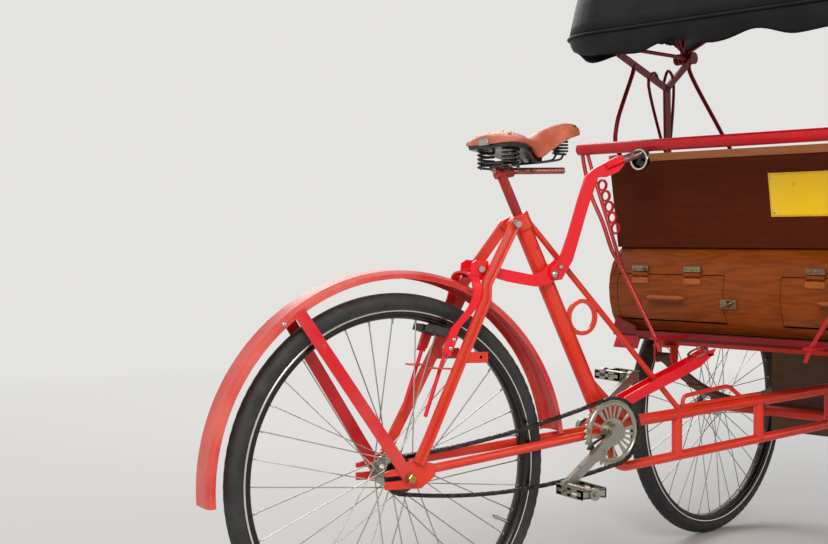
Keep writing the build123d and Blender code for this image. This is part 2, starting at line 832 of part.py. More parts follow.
# Back of the cab: leaning panel above, half-barrel trunk below
with BuildPart() as back_panel:
    lean_line = Vector(panel_high[0] - panel_low[0], 0, panel_high[1] - panel_low[1])
    with BuildSketch(Plane(origin=(panel_low[0], 0, panel_low[1]), x_dir=(0, 1, 0), z_dir=(lean_line.Z, 0, -lean_line.X))) as section:
        with BuildLine():
            Polyline(
                (-panel_low_half, 0),
                (panel_low_half, 0),
                (panel_high_half, lean_line.length),
                (-panel_high_half, lean_line.length),
                close=True,
            )
        make_face()
    extrude(section.sketch, amount=-board)
keep(back_panel.part, "back_panel", cab_place)

with BuildPart() as top_rail:
    block(
        (panel_high[0] - 20, -panel_high_half, panel_high[1] + 0.3),
        (panel_high[0] + 14, panel_high_half, panel_high[1] + 18),
    )
keep(top_rail.part, "top_rail", cab_place)


trunk_front_x = -330.0


def barrel_section(inset):
    with BuildSketch(Plane.XZ) as section:
        with BuildLine():
            arc = ThreePointArc(
                (barrel_high[0] + inset, barrel_high[1] - 0.3 - inset),
                (barrel_mid[0] + inset, barrel_mid[1]),
                (barrel_low[0] + inset, barrel_low[1] + inset),
            )
            Polyline(
                arc @ 1,
                (trunk_front_x - inset, barrel_low[1] + inset),
                (trunk_front_x - inset, barrel_high[1] - 0.3 - inset),
                arc @ 0,
            )
        make_face()
    return section.sketch


trunk_half = cab_half_width - board - 2
door_reach = (door_inner_y, door_outer_y)
with BuildPart() as trunk_shell:
    extrude(barrel_section(0), amount=trunk_half, both=True)
    extrude(barrel_section(10), amount=trunk_half - 10, both=True, mode=Mode.SUBTRACT)
    for side in (-1, 1):
        low_y = min(side * door_inner_y, side * door_outer_y) - door_gap
        high_y = max(side * door_inner_y, side * door_outer_y) + door_gap
        block((-480, low_y, door_low_z - 2 * door_gap), (-400, high_y, door_top_z + door_gap), mode=Mode.SUBTRACT)
        for hinge_y in door_hinges:
            centre_y = side * hinge_y
            side_disc(
                door_hinge_x,
                door_hinge_z,
                knuckle_radius + 0.5,
                centre_y - knuckle_half - seat_gap,
                centre_y + knuckle_half + seat_gap,
                mode=Mode.SUBTRACT,
            )
            for start in (-knuckle_reach, knuckle_half + seat_gap):
                side_disc(
                    door_hinge_x,
                    door_hinge_z,
                    knuckle_radius,
                    centre_y + start,
                    centre_y + start + knuckle_reach - knuckle_half - seat_gap,
                )
            side_disc(
                door_hinge_x,
                door_hinge_z,
                hinge_pin_radius,
                centre_y - knuckle_reach,
                centre_y + knuckle_reach,
            )
keep(trunk_shell.part, "trunk_shell", cab_place)

for name, side in (("left", 1), ("right", -1)):
    low_y = min(side * door_inner_y, side * door_outer_y)
    high_y = max(side * door_inner_y, side * door_outer_y)
    with BuildPart() as trunk_door:
        extrude(barrel_section(0), amount=trunk_half, both=True)
        extrude(barrel_section(10), amount=trunk_half + 1, both=True, mode=Mode.SUBTRACT)
        block((-480, low_y, door_low_z), (-400, high_y, door_top_z), mode=Mode.INTERSECT)
        for hinge_y in door_hinges:
            centre_y = side * hinge_y
            side_disc(
                door_hinge_x,
                door_hinge_z,
                knuckle_radius + 0.5,
                centre_y - knuckle_reach - 1,
                centre_y + knuckle_reach + 1,
                mode=Mode.SUBTRACT,
            )
            side_disc(
                door_hinge_x,
                door_hinge_z,
                knuckle_radius,
                centre_y - knuckle_half,
                centre_y + knuckle_half,
            )
            block(
                (door_hinge_x, centre_y - knuckle_half, door_hinge_z - 14),
                (door_hinge_x + 8, centre_y + knuckle_half, door_hinge_z - 2),
            )
            side_disc(
                door_hinge_x,
                door_hinge_z,
                hinge_pin_radius + running_clearance,
                centre_y - knuckle_half - 1,
                centre_y + knuckle_half + 1,
                mode=Mode.SUBTRACT,
            )
    keep(trunk_door.part, name + "_trunk_door", cab_place)

with BuildPart() as bottom_rail:
    block((-428, -330, deck_low - 8), (-402, 330, deck_low - 0.3))
keep(bottom_rail.part, "bottom_rail", cab_place)

seat_top = 690.0
with BuildPart() as seat_cushion:
    block((-300, -cab_half_width + board + 4, deck_low + board + 0.3), (footwell_rear_x - 6, cab_half_width - board - 4, seat_top))
    fillet(seat_cushion.edges().filter_by(Axis.Y), 20)
keep(seat_cushion.part, "seat_cushion", cab_place)

with BuildPart() as back_cushion:
    side_plate(
        ((-312, seat_top + 0.3), (-250, seat_top + 0.3), (-368, 1000), (-400, 1010), (-404, 980), (-385, 806), (-322, 806)),
        -cab_half_width + board + 10,
        cab_half_width - board - 10,
    )
keep(back_cushion.part, "back_cushion", cab_place)

# Steering bar across the cab's back, and the iron work that carries it
with BuildPart() as handlebar:
    rod((bar_x, -bar_half, bar_z), (bar_x, bar_half, bar_z), bar_radius)
    for side in (-1, 1):
        rod(
            (bar_x, side * (bar_half - 60), bar_z),
            (bar_x, side * (bar_half + 1), bar_z),
            bar_radius - 2,
            mode=Mode.SUBTRACT,
        )
keep(handlebar.part, "handlebar", cab_place)

strut_foot_y = 212.0
strut_foot_z = 590.0
with BuildPart() as bar_struts:
    for side in (-1, 1):
        flat_bar(
            (
                Vector(bar_x, side * (bar_half - 14), bar_z - bar_radius - 0.3),
                Vector(bar_x, side * strut_foot_y, strut_foot_z),
            ),
            20,
            6,
        )
        block(
            (bar_x - 10, side * strut_foot_y - 12, strut_foot_z - 3),
            (-415, side * strut_foot_y + 12, strut_foot_z + 3),
        )
        flat_bar(
            (Vector(bar_x + 20, side * 300, bar_z), Vector(-448, side * 300, bar_z)),
            24,
            6,
            side=(0, 0, 1),
        )
keep(bar_struts.part - handlebar.part - top_rail.part - back_panel.part - trunk_shell.part - bottom_rail.part - deck.part, "bar_struts", cab_place)

with BuildPart() as bell:
    with BuildSketch(Plane.XZ.offset(-245)) as section:
        with Locations((bar_x, bar_z - bar_radius - 30)):
            Circle(28)
    extrude(section.sketch, amount=20)
    rod((bar_x, 248, bar_z - bar_radius - seat_gap), (bar_x, 248, bar_z - bar_radius - 40), 5)
keep(bell.part, "bell", cab_place)

plate_left_y = -34.0
plate_length = 200.0
plate_height = 98.0
with BuildPart() as number_plate:
    with BuildSketch(
        Plane(
            origin=(panel_low[0], 0, panel_low[1]),
            x_dir=(0, 1, 0),
            z_dir=(lean_line.Z, 0, -lean_line.X),
        )
    ) as section:
        with Locations((plate_left_y - plate_length / 2, 122)):
            Rectangle(plate_length, plate_height)
    extrude(section.sketch, amount=-board - 1.5)
    extrude(section.sketch, amount=-board - seat_gap, mode=Mode.SUBTRACT)
keep(number_plate.part, "number_plate", cab_place)

front_guard_radius = 428.0
front_guard_half = 38.0
front_guard_stays = (62.0, 118.0)
guard_stay_radius = 5.0
with BuildPart() as front_mudguards:
    for side in (-1, 1):
        with BuildSketch(Plane(origin=(axle_ahead, side * half_track, wheel_radius), x_dir=(1, 0, 0), z_dir=(0, 0, 1))) as section:
            with Locations((front_guard_radius, 0)):
                Rectangle(2.5, 2 * front_guard_half)
        arc = revolve(
            section.sketch,
            axis=Axis((axle_ahead, side * half_track, wheel_radius), (0, -1, 0)),
            revolution_arc=150,
            mode=Mode.PRIVATE,
        )
        add(arc.rotate(Axis((axle_ahead, side * half_track, wheel_radius), (0, -1, 0)), 5))
        for angle in front_guard_stays:
            stay_x = axle_ahead + (front_guard_radius - guard_stay_radius) * cos(radians(angle))
            stay_z = wheel_radius + (front_guard_radius - guard_stay_radius) * sin(radians(angle))
            rod(
                (stay_x, side * (cab_half_width + seat_gap), stay_z),
                (stay_x, side * (half_track + front_guard_half), stay_z),
                guard_stay_radius,
            )
keep(front_mudguards.part, "front_mudguards", cab_place)

# Irons on the sides that carry the hood
hood_pin_radius = 6.0
with BuildPart() as hood_stands:
    for side in (-1, 1):
        y = side * stand_y
        flat_bar((Vector(-203, y, 760), Vector(-203, y, 915), Vector(-212, y, 1209)), 24, 8)
        flat_bar((Vector(-212, y, 1209), Vector(-413, y, 1278)), 18, 8)
        flat_bar((Vector(-212, y, 1209), Vector(-88, y, 1304)), 18, 8)
        bent_rod(
            (
                Vector(-352, y, 1258),
                Vector(-356, y, 1235),
                Vector(-396, y, 1157),
                Vector(-418, y, 1107),
                Vector(-424, y, 1052),
                Vector(-392, y, 1004),
                Vector(-385, y, 900),
            ),
            stand_rod,
            12,
        )
        bent_rod(
            (
                Vector(-112, y, 1288),
                Vector(-101, y, 1247),
                Vector(45, y, 1102),
                Vector(268, y, 880),
                Vector(268, y, 800),
            ),
            stand_rod,
            12,
        )
        side_disc(hood_x, hood_z, 16, y - 4, y + 4)
        inner = side * (stand_y + 2)
        outer = side * (bow_first_y + 3 * bow_step_y + 8)
        side_disc(hood_x, hood_z, hood_pin_radius, min(inner, outer), max(inner, outer))
keep(hood_stands.part, "hood_stands", cab_place)

# Hood: four bows turn about one pin on each side, with cloth between them
bow_names = ("rear_bow", "second_bow", "third_bow", "front_bow")
for count, (name, angle) in enumerate(zip(bow_names, bow_angles)):
    leg_y = bow_first_y + count * bow_step_y
    turn = radians(angle)
    outward = Vector(cos(turn), 0, sin(turn))
    pivot = Vector(hood_x, 0, hood_z)
    with BuildPart() as bow:
        bent_rod(
            (
                pivot + outward * 14 + Vector(0, leg_y, 0),
                pivot + outward * bow_length + Vector(0, leg_y, 0),
                pivot + outward * bow_length - Vector(0, leg_y, 0),
                pivot + outward * 14 - Vector(0, leg_y, 0),
            ),
            bow_radius,
            bow_corner,
        )
        for side in (-1, 1):
            side_disc(hood_x, hood_z, 15, side * leg_y - 4, side * leg_y + 4)
            side_disc(
                hood_x,
                hood_z,
                hood_pin_radius + running_clearance,
                side * leg_y - 5,
                side * leg_y + 5,
                mode=Mode.SUBTRACT,
            )
    keep(bow.part, name, cab_place)

cloth_inner_y = bow_first_y + 3 * bow_step_y + bow_radius + 0.5
for count in range(3):
    from_angle = bow_angles[count]
    to_angle = bow_angles[count + 1]
    with BuildPart() as cloth:
        with BuildSketch(Plane(origin=(hood_x, 0, hood_z), x_dir=(1, 0, 0), z_dir=(0, 0, 1))) as section:
            with BuildLine() as outer_line:
                FilletPolyline(
                    (60, cloth_inner_y + cloth_thick),
                    (bow_length + bow_radius + cloth_thick + 0.5, cloth_inner_y + cloth_thick),
                    (bow_length + bow_radius + cloth_thick + 0.5, -cloth_inner_y - cloth_thick),
                    (60, -cloth_inner_y - cloth_thick),
                    radius=bow_corner + cloth_thick,
                )
                FilletPolyline(
                    (60, cloth_inner_y),
                    (bow_length + bow_radius + 0.5, cloth_inner_y),
                    (bow_length + bow_radius + 0.5, -cloth_inner_y),
                    (60, -cloth_inner_y),
                    radius=bow_corner,
                )
                Line((60, cloth_inner_y), (60, cloth_inner_y + cloth_thick))
                Line((60, -cloth_inner_y), (60, -cloth_inner_y - cloth_thick))
            make_face()
        gore = revolve(
            section.sketch,
            axis=Axis((hood_x, 0, hood_z), (0, -1, 0)),
            revolution_arc=from_angle - to_angle - 0.2,
            mode=Mode.PRIVATE,
        )
        add(gore.rotate(Axis((hood_x, 0, hood_z), (0, -1, 0)), to_angle + 0.1))
    keep(cloth.part, ("rear_cloth", "middle_cloth", "front_cloth")[count], cab_place)

# The origin is on the ground under the middle of the whole vehicle's box
boxes = [piece.bounding_box() for piece in finished]
low_corner = Vector(*(min(getattr(box.min, letter) for box in boxes) for letter in "XYZ"))
high_corner = Vector(*(max(getattr(box.max, letter) for box in boxes) for letter in "XYZ"))
middle = Location((-(low_corner.X + high_corner.X) / 2, -(low_corner.Y + high_corner.Y) / 2, -low_corner.Z))
os.makedirs("parts", exist_ok=True)
for piece in finished:
    placed = piece.moved(middle)
    placed.label = piece.label
    export_step(placed, "parts/" + piece.label + ".step")
print("box", low_corner, high_corner)
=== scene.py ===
import bmesh
import bpy
import json
from itertools import product
from math import asin, atan2, cos, floor, hypot, pi, radians, sin
from mathutils import Matrix, Vector


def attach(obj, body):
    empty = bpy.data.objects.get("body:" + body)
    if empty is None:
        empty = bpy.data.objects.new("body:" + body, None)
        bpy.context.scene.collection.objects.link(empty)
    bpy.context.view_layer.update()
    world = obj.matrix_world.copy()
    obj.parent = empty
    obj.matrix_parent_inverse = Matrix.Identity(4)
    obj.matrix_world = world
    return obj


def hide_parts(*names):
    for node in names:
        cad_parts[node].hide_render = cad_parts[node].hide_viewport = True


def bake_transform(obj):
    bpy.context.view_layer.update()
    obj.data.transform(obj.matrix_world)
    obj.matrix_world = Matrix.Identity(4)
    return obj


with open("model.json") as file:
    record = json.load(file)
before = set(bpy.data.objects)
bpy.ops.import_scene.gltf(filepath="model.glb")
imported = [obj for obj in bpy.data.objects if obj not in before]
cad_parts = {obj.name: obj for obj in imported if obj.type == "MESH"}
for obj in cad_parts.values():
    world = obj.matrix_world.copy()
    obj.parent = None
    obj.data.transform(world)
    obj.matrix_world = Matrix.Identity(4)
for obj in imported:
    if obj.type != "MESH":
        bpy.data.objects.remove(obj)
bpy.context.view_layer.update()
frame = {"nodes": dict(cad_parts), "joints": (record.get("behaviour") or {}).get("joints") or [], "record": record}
nodes = frame["nodes"]
joints = {joint["name"]: joint for joint in frame["joints"]}
scene = bpy.context.scene
print("frame loaded")

# Spaces: every piece is drawn in millimetres in the space of the assembly that carries it
mm = 0.001
hubPlace = Vector(joints["rear_wheel_spin"]["pos_m"])
pinPlace = Vector(joints["steering"]["pos_m"])
cabSide = Vector(joints["left_wheel_spin"]["axis"]).normalized()
cabForward = Vector((cabSide.y, -cabSide.x, 0))


def spaceAt(place, forward, side):
    turn = Matrix((forward, side, forward.cross(side))).transposed().to_4x4()
    return Matrix.Translation(place) @ turn @ Matrix.Scale(mm, 4)


leftward, rightward, backward, upward = (0, 1, 0), (0, -1, 0), (-1, 0, 0), (0, 0, 1)
riderAxes = (Vector((1, 0, 0)), Vector(leftward))
riderSpace = spaceAt(Vector((hubPlace.x, hubPlace.y, 0)), *riderAxes)
cabSpace = spaceAt(Vector((pinPlace.x, pinPlace.y, 0)), cabForward, cabSide)
cabTurn = atan2(cabForward.y, cabForward.x)
wheelNames = ("rear", "left", "right")
# A body that isn't listed is drawn in the cab's space
spaces = {
    "rear_wheel": spaceAt(hubPlace, *riderAxes),
    "left_wheel": spaceAt(Vector(joints["left_wheel_spin"]["pos_m"]), cabForward, cabSide),
    "right_wheel": spaceAt(Vector(joints["right_wheel_spin"]["pos_m"]), cabForward, cabSide),
    "frame": riderSpace, "crankset": riderSpace, "left_pedal_body": riderSpace, "right_pedal_body": riderSpace,
}


# Small kit for making meshes
def makePiece(name, mesh, finish, body, *replaced, smoothAngle=38):
    bmesh.ops.transform(mesh, matrix=spaces.get(body, cabSpace), verts=mesh.verts)
    bmesh.ops.recalc_face_normals(mesh, faces=mesh.faces)
    data = bpy.data.meshes.new(name)
    mesh.to_mesh(data)
    mesh.free()
    data.materials.append(finishes[finish])
    data.shade_smooth()
    data.set_sharp_from_angle(angle=radians(smoothAngle))
    piece = bpy.data.objects.new(name, data)
    scene.collection.objects.link(piece)
    if body:
        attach(piece, body)
    if replaced:
        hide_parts(*replaced)
    return piece


def addRings(mesh, rings, closed=False):
    made = [[mesh.verts.new(point) for point in ring] for ring in rings]
    pairs = list(zip(made, made[1:]))
    if closed:
        pairs.append((made[-1], made[0]))
    for one, other in pairs:
        for i in range(len(one)):
            j = (i + 1) % len(one)
            mesh.faces.new((one[i], one[j], other[j], other[i]))
    if not closed:
        mesh.faces.new(made[0])
        mesh.faces.new(list(reversed(made[-1])))


# Two directions square to an axis and to each other
def squareTo(axis):
    across = axis.orthogonal().normalized()
    return across, axis.cross(across)


def circle(middle, across, beside, radius, steps):
    turns = [2 * pi * k / steps for k in range(steps)]
    return [middle + (across * cos(turn) + beside * sin(turn)) * radius for turn in turns]


def addTube(mesh, points, radius, sides=10, closed=False):
    points = [Vector(point) for point in points]
    count = len(points)
    radii = radius if isinstance(radius, (list, tuple)) else [radius] * count
    rings = []
    across = None
    for i, point in enumerate(points):
        before = points[i - 1] if i or closed else point
        after = points[(i + 1) % count] if i < count - 1 or closed else point
        along = (after - before).normalized()
        if across is None:
            across = along.orthogonal().normalized()
        across = (across - along * across.dot(along)).normalized()
        rings.append(circle(point, across, along.cross(across), radii[i], sides))
    addRings(mesh, rings, closed)


# A turned shape: its profile holds pairs of distance along the axis and radius
def addLathe(mesh, profile, origin, axis, steps=24):
    origin, axis = Vector(origin), Vector(axis).normalized()
    addRings(mesh, [circle(origin + axis * along, *squareTo(axis), radius, steps) for along, radius in profile])


def addBox(mesh, low, high):
    corners = product(*zip(low, high))
    bmesh.ops.convex_hull(mesh, input=[mesh.verts.new(corner) for corner in corners])


# A flat plate: its outline holds pairs of x and z, and it lies between two values of y
def addPlate(mesh, outline, low, high):
    addRings(mesh, [[(x, y, z) for x, z in outline] for y in (low, high)])


# A path with its corners rounded
def bent(points, bend, steps=4):
    points = [Vector(point) for point in points]
    path = [points[0]]
    for before, corner, after in zip(points, points[1:], points[2:]):
        start = corner + (before - corner).normalized() * min(bend, (before - corner).length * 0.48)
        end = corner + (after - corner).normalized() * min(bend, (after - corner).length * 0.48)
        for k in range(steps + 1):
            t = k / steps
            path.append(start * (1 - t) ** 2 + corner * 2 * t * (1 - t) + end * t * t)
    return path + [points[-1]]


# A flat bar along a path: thick towards its side, wide across it, with a groove where asked
def addBar(mesh, points, wide, thick, side=(0, 1, 0), groove=0):
    points = [Vector(point) for point in points]
    side = Vector(side)
    outline = [(-thick / 2, -wide / 2), (thick / 2, -wide / 2), (thick / 2, wide / 2), (-thick / 2, wide / 2)]
    if groove:
        deep = thick / 2 - thick * 0.4
        cut = [(thick / 2, -wide / 6), (deep, -wide / 6), (deep, wide / 6), (thick / 2, wide / 6)]
        outline = [(a * groove, b) for a, b in outline[:2] + cut + outline[2:]]
    rings = []
    for i, point in enumerate(points):
        before = (point - points[i - 1]).normalized() if i else (points[1] - point).normalized()
        after = (points[i + 1] - point).normalized() if i < len(points) - 1 else before
        along = (before + after).normalized()
        stretch = 1 / max(0.5, along.dot(before))
        across = along.cross(side).normalized() * stretch
        rings.append([point + side * a + across * b for a, b in outline])
    addRings(mesh, rings)


def addWasher(mesh, at, axis, inner, outer, low, high, steps=28):
    at, axis = Vector(at), Vector(axis).normalized()
    corners = ((low, inner), (low, outer), (high, outer), (high, inner))
    edges = [circle(at + axis * along, *squareTo(axis), radius, steps) for along, radius in corners]
    addRings(mesh, list(zip(*edges)), closed=True)


def addHexHead(mesh, at, axis, width, height):
    addLathe(mesh, ((0, width / 2), (height * 0.8, width / 2), (height, width * 0.42)), at, axis, 6)


def addDome(mesh, at, axis, radius, height):
    steps = 5
    profile = [(0, radius)] + [
        (height * sin(pi / 2 * k / steps), max(radius * cos(pi / 2 * k / steps), radius * 0.02))
        for k in range(1, steps + 1)
    ]
    addLathe(mesh, profile, at, axis, 16)


# Smooth path through the points
def curved(points, steps):
    points = [Vector(point) for point in points]
    path = []
    for i, (p1, p2) in enumerate(zip(points, points[1:])):
        p0 = points[i - 1] if i else p1 * 2 - p2
        p3 = points[i + 2] if i < len(points) - 2 else p2 * 2 - p1
        for k in range(steps):
            t = k / steps
            path.append(0.5 * (
                p1 * 2 + (p2 - p0) * t + (p0 * 2 - p1 * 5 + p2 * 4 - p3) * t * t
                + (p1 * 3 - p0 - p2 * 3 + p3) * t ** 3
            ))
    return path + [points[-1]]


# Faces between rows of vertices, for a sheet whose sides stay open
def joinRows(mesh, rows):
    for one, other in zip(rows, rows[1:]):
        for i in range(len(one) - 1):
            mesh.faces.new((one[i], one[i + 1], other[i + 1], other[i]))


# Colours are written as they look, in steps of 255, and the shaders take them as linear shares
def tint(*colour):
    shares = [part / 255 for part in colour]
    return tuple(share / 12.92 if share < 0.0404 else ((share + 0.055) / 1.055) ** 2.4 for share in shares) + (1.0,)


# Shader effects that several finishes share
def newGroup(name, inputs, outputs):
    group = bpy.data.node_groups.new(name, "ShaderNodeTree")
    for label, kind, value in inputs:
        socket = group.interface.new_socket(name=label, in_out="INPUT", socket_type=kind)
        socket.default_value = value
    for label, kind in outputs:
        group.interface.new_socket(name=label, in_out="OUTPUT", socket_type=kind)
    start = group.nodes.new("NodeGroupInput")
    end = group.nodes.new("NodeGroupOutput")
    return group, start, end


# Sets or links a node's inputs: i0 is the first one, and Base_Color the one with that name in two words
def feed(tree, node, **values):
    for key, value in values.items():
        numbered = key[0] == "i" and key[1:].isdigit()
        socket = node.inputs[int(key[1:]) if numbered else key.replace("_", " ")]
        if isinstance(value, bpy.types.NodeSocket):
            tree.links.new(value, socket)
        else:
            socket.default_value = value
    return node


def addNode(tree, kind, settings=None, **values):
    node = tree.nodes.new(kind)
    for key, value in (settings or {}).items():
        setattr(node, key, value)
    return feed(tree, node, **values)


def mathNode(tree, operation, first, second=0.5, clamp=False):
    settings = {"operation": operation, "use_clamp": clamp}
    return addNode(tree, "ShaderNodeMath", settings, i0=first, i1=second).outputs[0]


def times(tree, first, second, clamp=False):
    return mathNode(tree, "MULTIPLY", first, second, clamp)


def plus(tree, first, second, clamp=False):
    return mathNode(tree, "ADD", first, second, clamp)


def mixNode(tree, share, first, second):
    return addNode(tree, "ShaderNodeMix", {"data_type": "RGBA"}, i0=share, i6=first, i7=second).outputs[2]


def objectPlace(tree):
    return addNode(tree, "ShaderNodeTexCoord").outputs["Object"]


def rangeNode(tree, value, fromLow, fromHigh, toLow=0.0, toHigh=1.0):
    node = addNode(tree, "ShaderNodeMapRange", None, i0=value, i1=fromLow, i2=fromHigh, i3=toLow, i4=toHigh)
    return node.outputs[0]


def noiseNode(tree, place, size, detail=4.0, roughness=0.55):
    node = addNode(tree, "ShaderNodeTexNoise", None, Vector=place, Scale=size, Detail=detail, Roughness=roughness)
    return node.outputs[0]


colourKind, numberKind = "NodeSocketColor", "NodeSocketFloat"


# Paint that has faded, chipped at its edges and rusted through in spots
def buildWear():
    group, start, end = newGroup("paint wear", (
        ("Paint", colourKind, (0.5, 0.1, 0.05, 1)),
        ("Faded", colourKind, (0.6, 0.2, 0.1, 1)),
        ("Bare", colourKind, (0.2, 0.1, 0.05, 1)),
        ("Fade", numberKind, 0.5),
        ("Chips", numberKind, 0.4),
        ("Edge", numberKind, 0.003),
        ("Size", numberKind, 1.0),
    ), (("Colour", colourKind), ("Rough", numberKind), ("Height", numberKind)))
    place, given = objectPlace(group), start.outputs
    broad = noiseNode(group, place, times(group, given["Size"], 9.0), 5.0)
    fade = times(group, rangeNode(group, broad, 0.38, 0.68), given["Fade"], True)
    painted = mixNode(group, fade, given["Paint"], given["Faded"])
    fine = noiseNode(group, place, times(group, given["Size"], 120.0), 8.0, 0.7)
    speck = noiseNode(group, place, times(group, given["Size"], 38.0), 6.0, 0.65)
    bevel = addNode(group, "ShaderNodeBevel", {"samples": 4}, Radius=given["Edge"]).outputs[0]
    flat = addNode(group, "ShaderNodeNewGeometry").outputs["True Normal"]
    facing = addNode(group, "ShaderNodeVectorMath", {"operation": "DOT_PRODUCT"}, i0=bevel, i1=flat).outputs["Value"]
    rubbed = times(group, rangeNode(group, facing, 0.995, 0.86), rangeNode(group, fine, 0.40, 0.60))
    pits = rangeNode(group, plus(group, speck, times(group, fine, 0.35)), 0.86, 0.90)
    chipped = times(group, mathNode(group, "MAXIMUM", rubbed, pits), given["Chips"], True)
    rust = mixNode(group, rangeNode(group, fine, 0.35, 0.65), given["Bare"], tint(60, 38, 28))
    feed(
        group, end, Colour=mixNode(group, chipped, painted, rust),
        Rough=rangeNode(group, plus(group, times(group, fade, 0.35), chipped), 0.0, 1.0, 0.28, 0.72),
        Height=mathNode(group, "SUBTRACT", times(group, broad, 0.25), chipped),
    )
    return group


# Pale dust that lies on what faces up
def buildDust():
    group, start, end = newGroup("settled dust", (
        ("Colour", colourKind, (0.5, 0.5, 0.5, 1)),
        ("Dust", colourKind, tint(150, 132, 110)),
        ("Amount", numberKind, 0.4),
    ), (("Colour", colourKind), ("Mask", numberKind)))
    coordinates = addNode(group, "ShaderNodeTexCoord").outputs
    up = addNode(group, "ShaderNodeSeparateXYZ", None, i0=coordinates["Normal"]).outputs[2]
    patchy = noiseNode(group, coordinates["Object"], 26.0, 7.0, 0.65)
    settled = times(group, rangeNode(group, up, -0.3, 0.9), rangeNode(group, patchy, 0.32, 0.66))
    mask = times(group, settled, start.outputs["Amount"], True)
    feed(group, end, Colour=mixNode(group, mask, start.outputs["Colour"], start.outputs["Dust"]), Mask=mask)
    return group


# Wood grain that runs along the cab's width
def buildGrain():
    group, start, end = newGroup("wood grain", (
        ("Light", colourKind, (0.4, 0.25, 0.1, 1)),
        ("Dark", colourKind, (0.2, 0.1, 0.04, 1)),
        ("Figure", numberKind, 0.6),
    ), (("Colour", colourKind), ("Height", numberKind)))
    turned = addNode(
        group, "ShaderNodeMapping", {"vector_type": "TEXTURE"},
        Vector=objectPlace(group), Rotation=(0, 0, cabTurn), Scale=(1, 9, 1),
    ).outputs[0]
    bands = noiseNode(group, turned, 22.0, 3.0, 0.5)
    soft = mathNode(group, "PINGPONG", mathNode(group, "FRACT", times(group, bands, 9.0)), 0.5)
    fibre = noiseNode(group, turned, 420.0, 4.0, 0.7)
    share = plus(group, times(group, soft, start.outputs["Figure"]), times(group, fibre, 0.45), True)
    feed(group, end, Colour=mixNode(group, share, start.outputs["Dark"], start.outputs["Light"]), Height=fibre)
    return group


# Pebbled grain of leather or vinyl, with broad wear
def buildHide():
    group, start, end = newGroup("hide grain", (
        ("Pebbles", numberKind, 700.0),
        ("Wear size", numberKind, 14.0),
    ), (("Height", numberKind), ("Worn", numberKind)))
    place = objectPlace(group)
    cells = {"feature": "DISTANCE_TO_EDGE"}
    pebble = addNode(group, "ShaderNodeTexVoronoi", cells, Vector=place, Scale=start.outputs["Pebbles"])
    crease = noiseNode(group, place, 60.0, 5.0, 0.6)
    broad = noiseNode(group, place, start.outputs["Wear size"], 6.0, 0.62)
    feed(
        group, end, Worn=rangeNode(group, broad, 0.42, 0.7),
        Height=plus(group, rangeNode(group, pebble.outputs["Distance"], 0.0, 0.25), times(group, crease, 0.8)),
    )
    return group


# Rust and grease in patches over bare metal
def buildRust():
    group, start, end = newGroup("rust and grease", (
        ("Metal", colourKind, (0.5, 0.5, 0.5, 1)),
        ("Rust", colourKind, tint(96, 58, 36)),
        ("Amount", numberKind, 0.5),
    ), (("Colour", colourKind), ("Metallic", numberKind), ("Rough", numberKind), ("Height", numberKind)))
    place, given = objectPlace(group), start.outputs
    patch = noiseNode(group, place, 45.0, 9.0, 0.68)
    grit = noiseNode(group, place, 350.0, 3.0, 0.6)
    level = mathNode(group, "SUBTRACT", 0.95, times(group, given["Amount"], 0.75))
    mask = rangeNode(group, plus(group, patch, times(group, grit, 0.18)), level, plus(group, level, 0.14))
    rust = mixNode(group, grit, given["Rust"], tint(48, 34, 26))
    feed(
        group, end, Colour=mixNode(group, mask, given["Metal"], rust), Metallic=mathNode(group, "SUBTRACT", 1.0, mask),
        Rough=rangeNode(group, mask, 0.0, 1.0, 0.26, 0.85), Height=times(group, mask, grit),
    )
    return group


wearGroup, dustGroup, grainGroup, hideGroup, rustGroup = (
    buildWear(), buildDust(), buildGrain(), buildHide(), buildRust()
)


def newMaterial(name):
    material = bpy.data.materials.new(name)
    material.use_nodes = True
    tree = material.node_tree
    return material, tree, tree.nodes["Principled BSDF"]


def placeGroup(tree, group, **values):
    return feed(tree, addNode(tree, "ShaderNodeGroup", {"node_tree": group}), **values).outputs


def addBump(tree, shader, height, strength, distance):
    bump = addNode(tree, "ShaderNodeBump", None, Strength=strength, Distance=distance, Height=height)
    feed(tree, shader, Normal=bump.outputs[0])


def paintMaterial(name, paint, faded, bare, fade, chips, dust, coat=0.15, size=1.0, shine=0.3):
    material, tree, shader = newMaterial(name)
    wear = placeGroup(
        tree, wearGroup, Paint=tint(*paint), Faded=tint(*faded), Bare=tint(*bare), Fade=fade, Chips=chips, Size=size,
    )
    dusty = placeGroup(tree, dustGroup, Colour=wear["Colour"], Amount=dust)
    rough = plus(tree, wear["Rough"], times(tree, dusty["Mask"], 0.4), True)
    feed(
        tree, shader, Base_Color=dusty["Colour"], Roughness=rough,
        Coat_Weight=coat, Coat_Roughness=0.18, Specular_IOR_Level=shine,
    )
    addBump(tree, shader, wear["Height"], 0.35, 0.0006)
    return material


def metalMaterial(name, metal, rust, amount, least=0.0):
    material, tree, shader = newMaterial(name)
    worn = placeGroup(tree, rustGroup, Metal=tint(*metal), Rust=tint(*rust), Amount=amount)
    rough = mathNode(tree, "MAXIMUM", worn["Rough"], least)
    feed(tree, shader, Base_Color=worn["Colour"], Metallic=worn["Metallic"], Roughness=rough)
    addBump(tree, shader, worn["Height"], 0.4, 0.0004)
    return material


def woodMaterial(name, light, dark, figure, rough, dust, coat=0.0, shine=0.3):
    material, tree, shader = newMaterial(name)
    grain = placeGroup(tree, grainGroup, Light=tint(*light), Dark=tint(*dark), Figure=figure)
    dusty = placeGroup(tree, dustGroup, Colour=grain["Colour"], Amount=dust)
    feed(
        tree, shader, Base_Color=dusty["Colour"], Roughness=rough,
        Coat_Weight=coat, Coat_Roughness=0.22, Specular_IOR_Level=shine,
    )
    addBump(tree, shader, grain["Height"], 0.25, 0.0004)
    return material


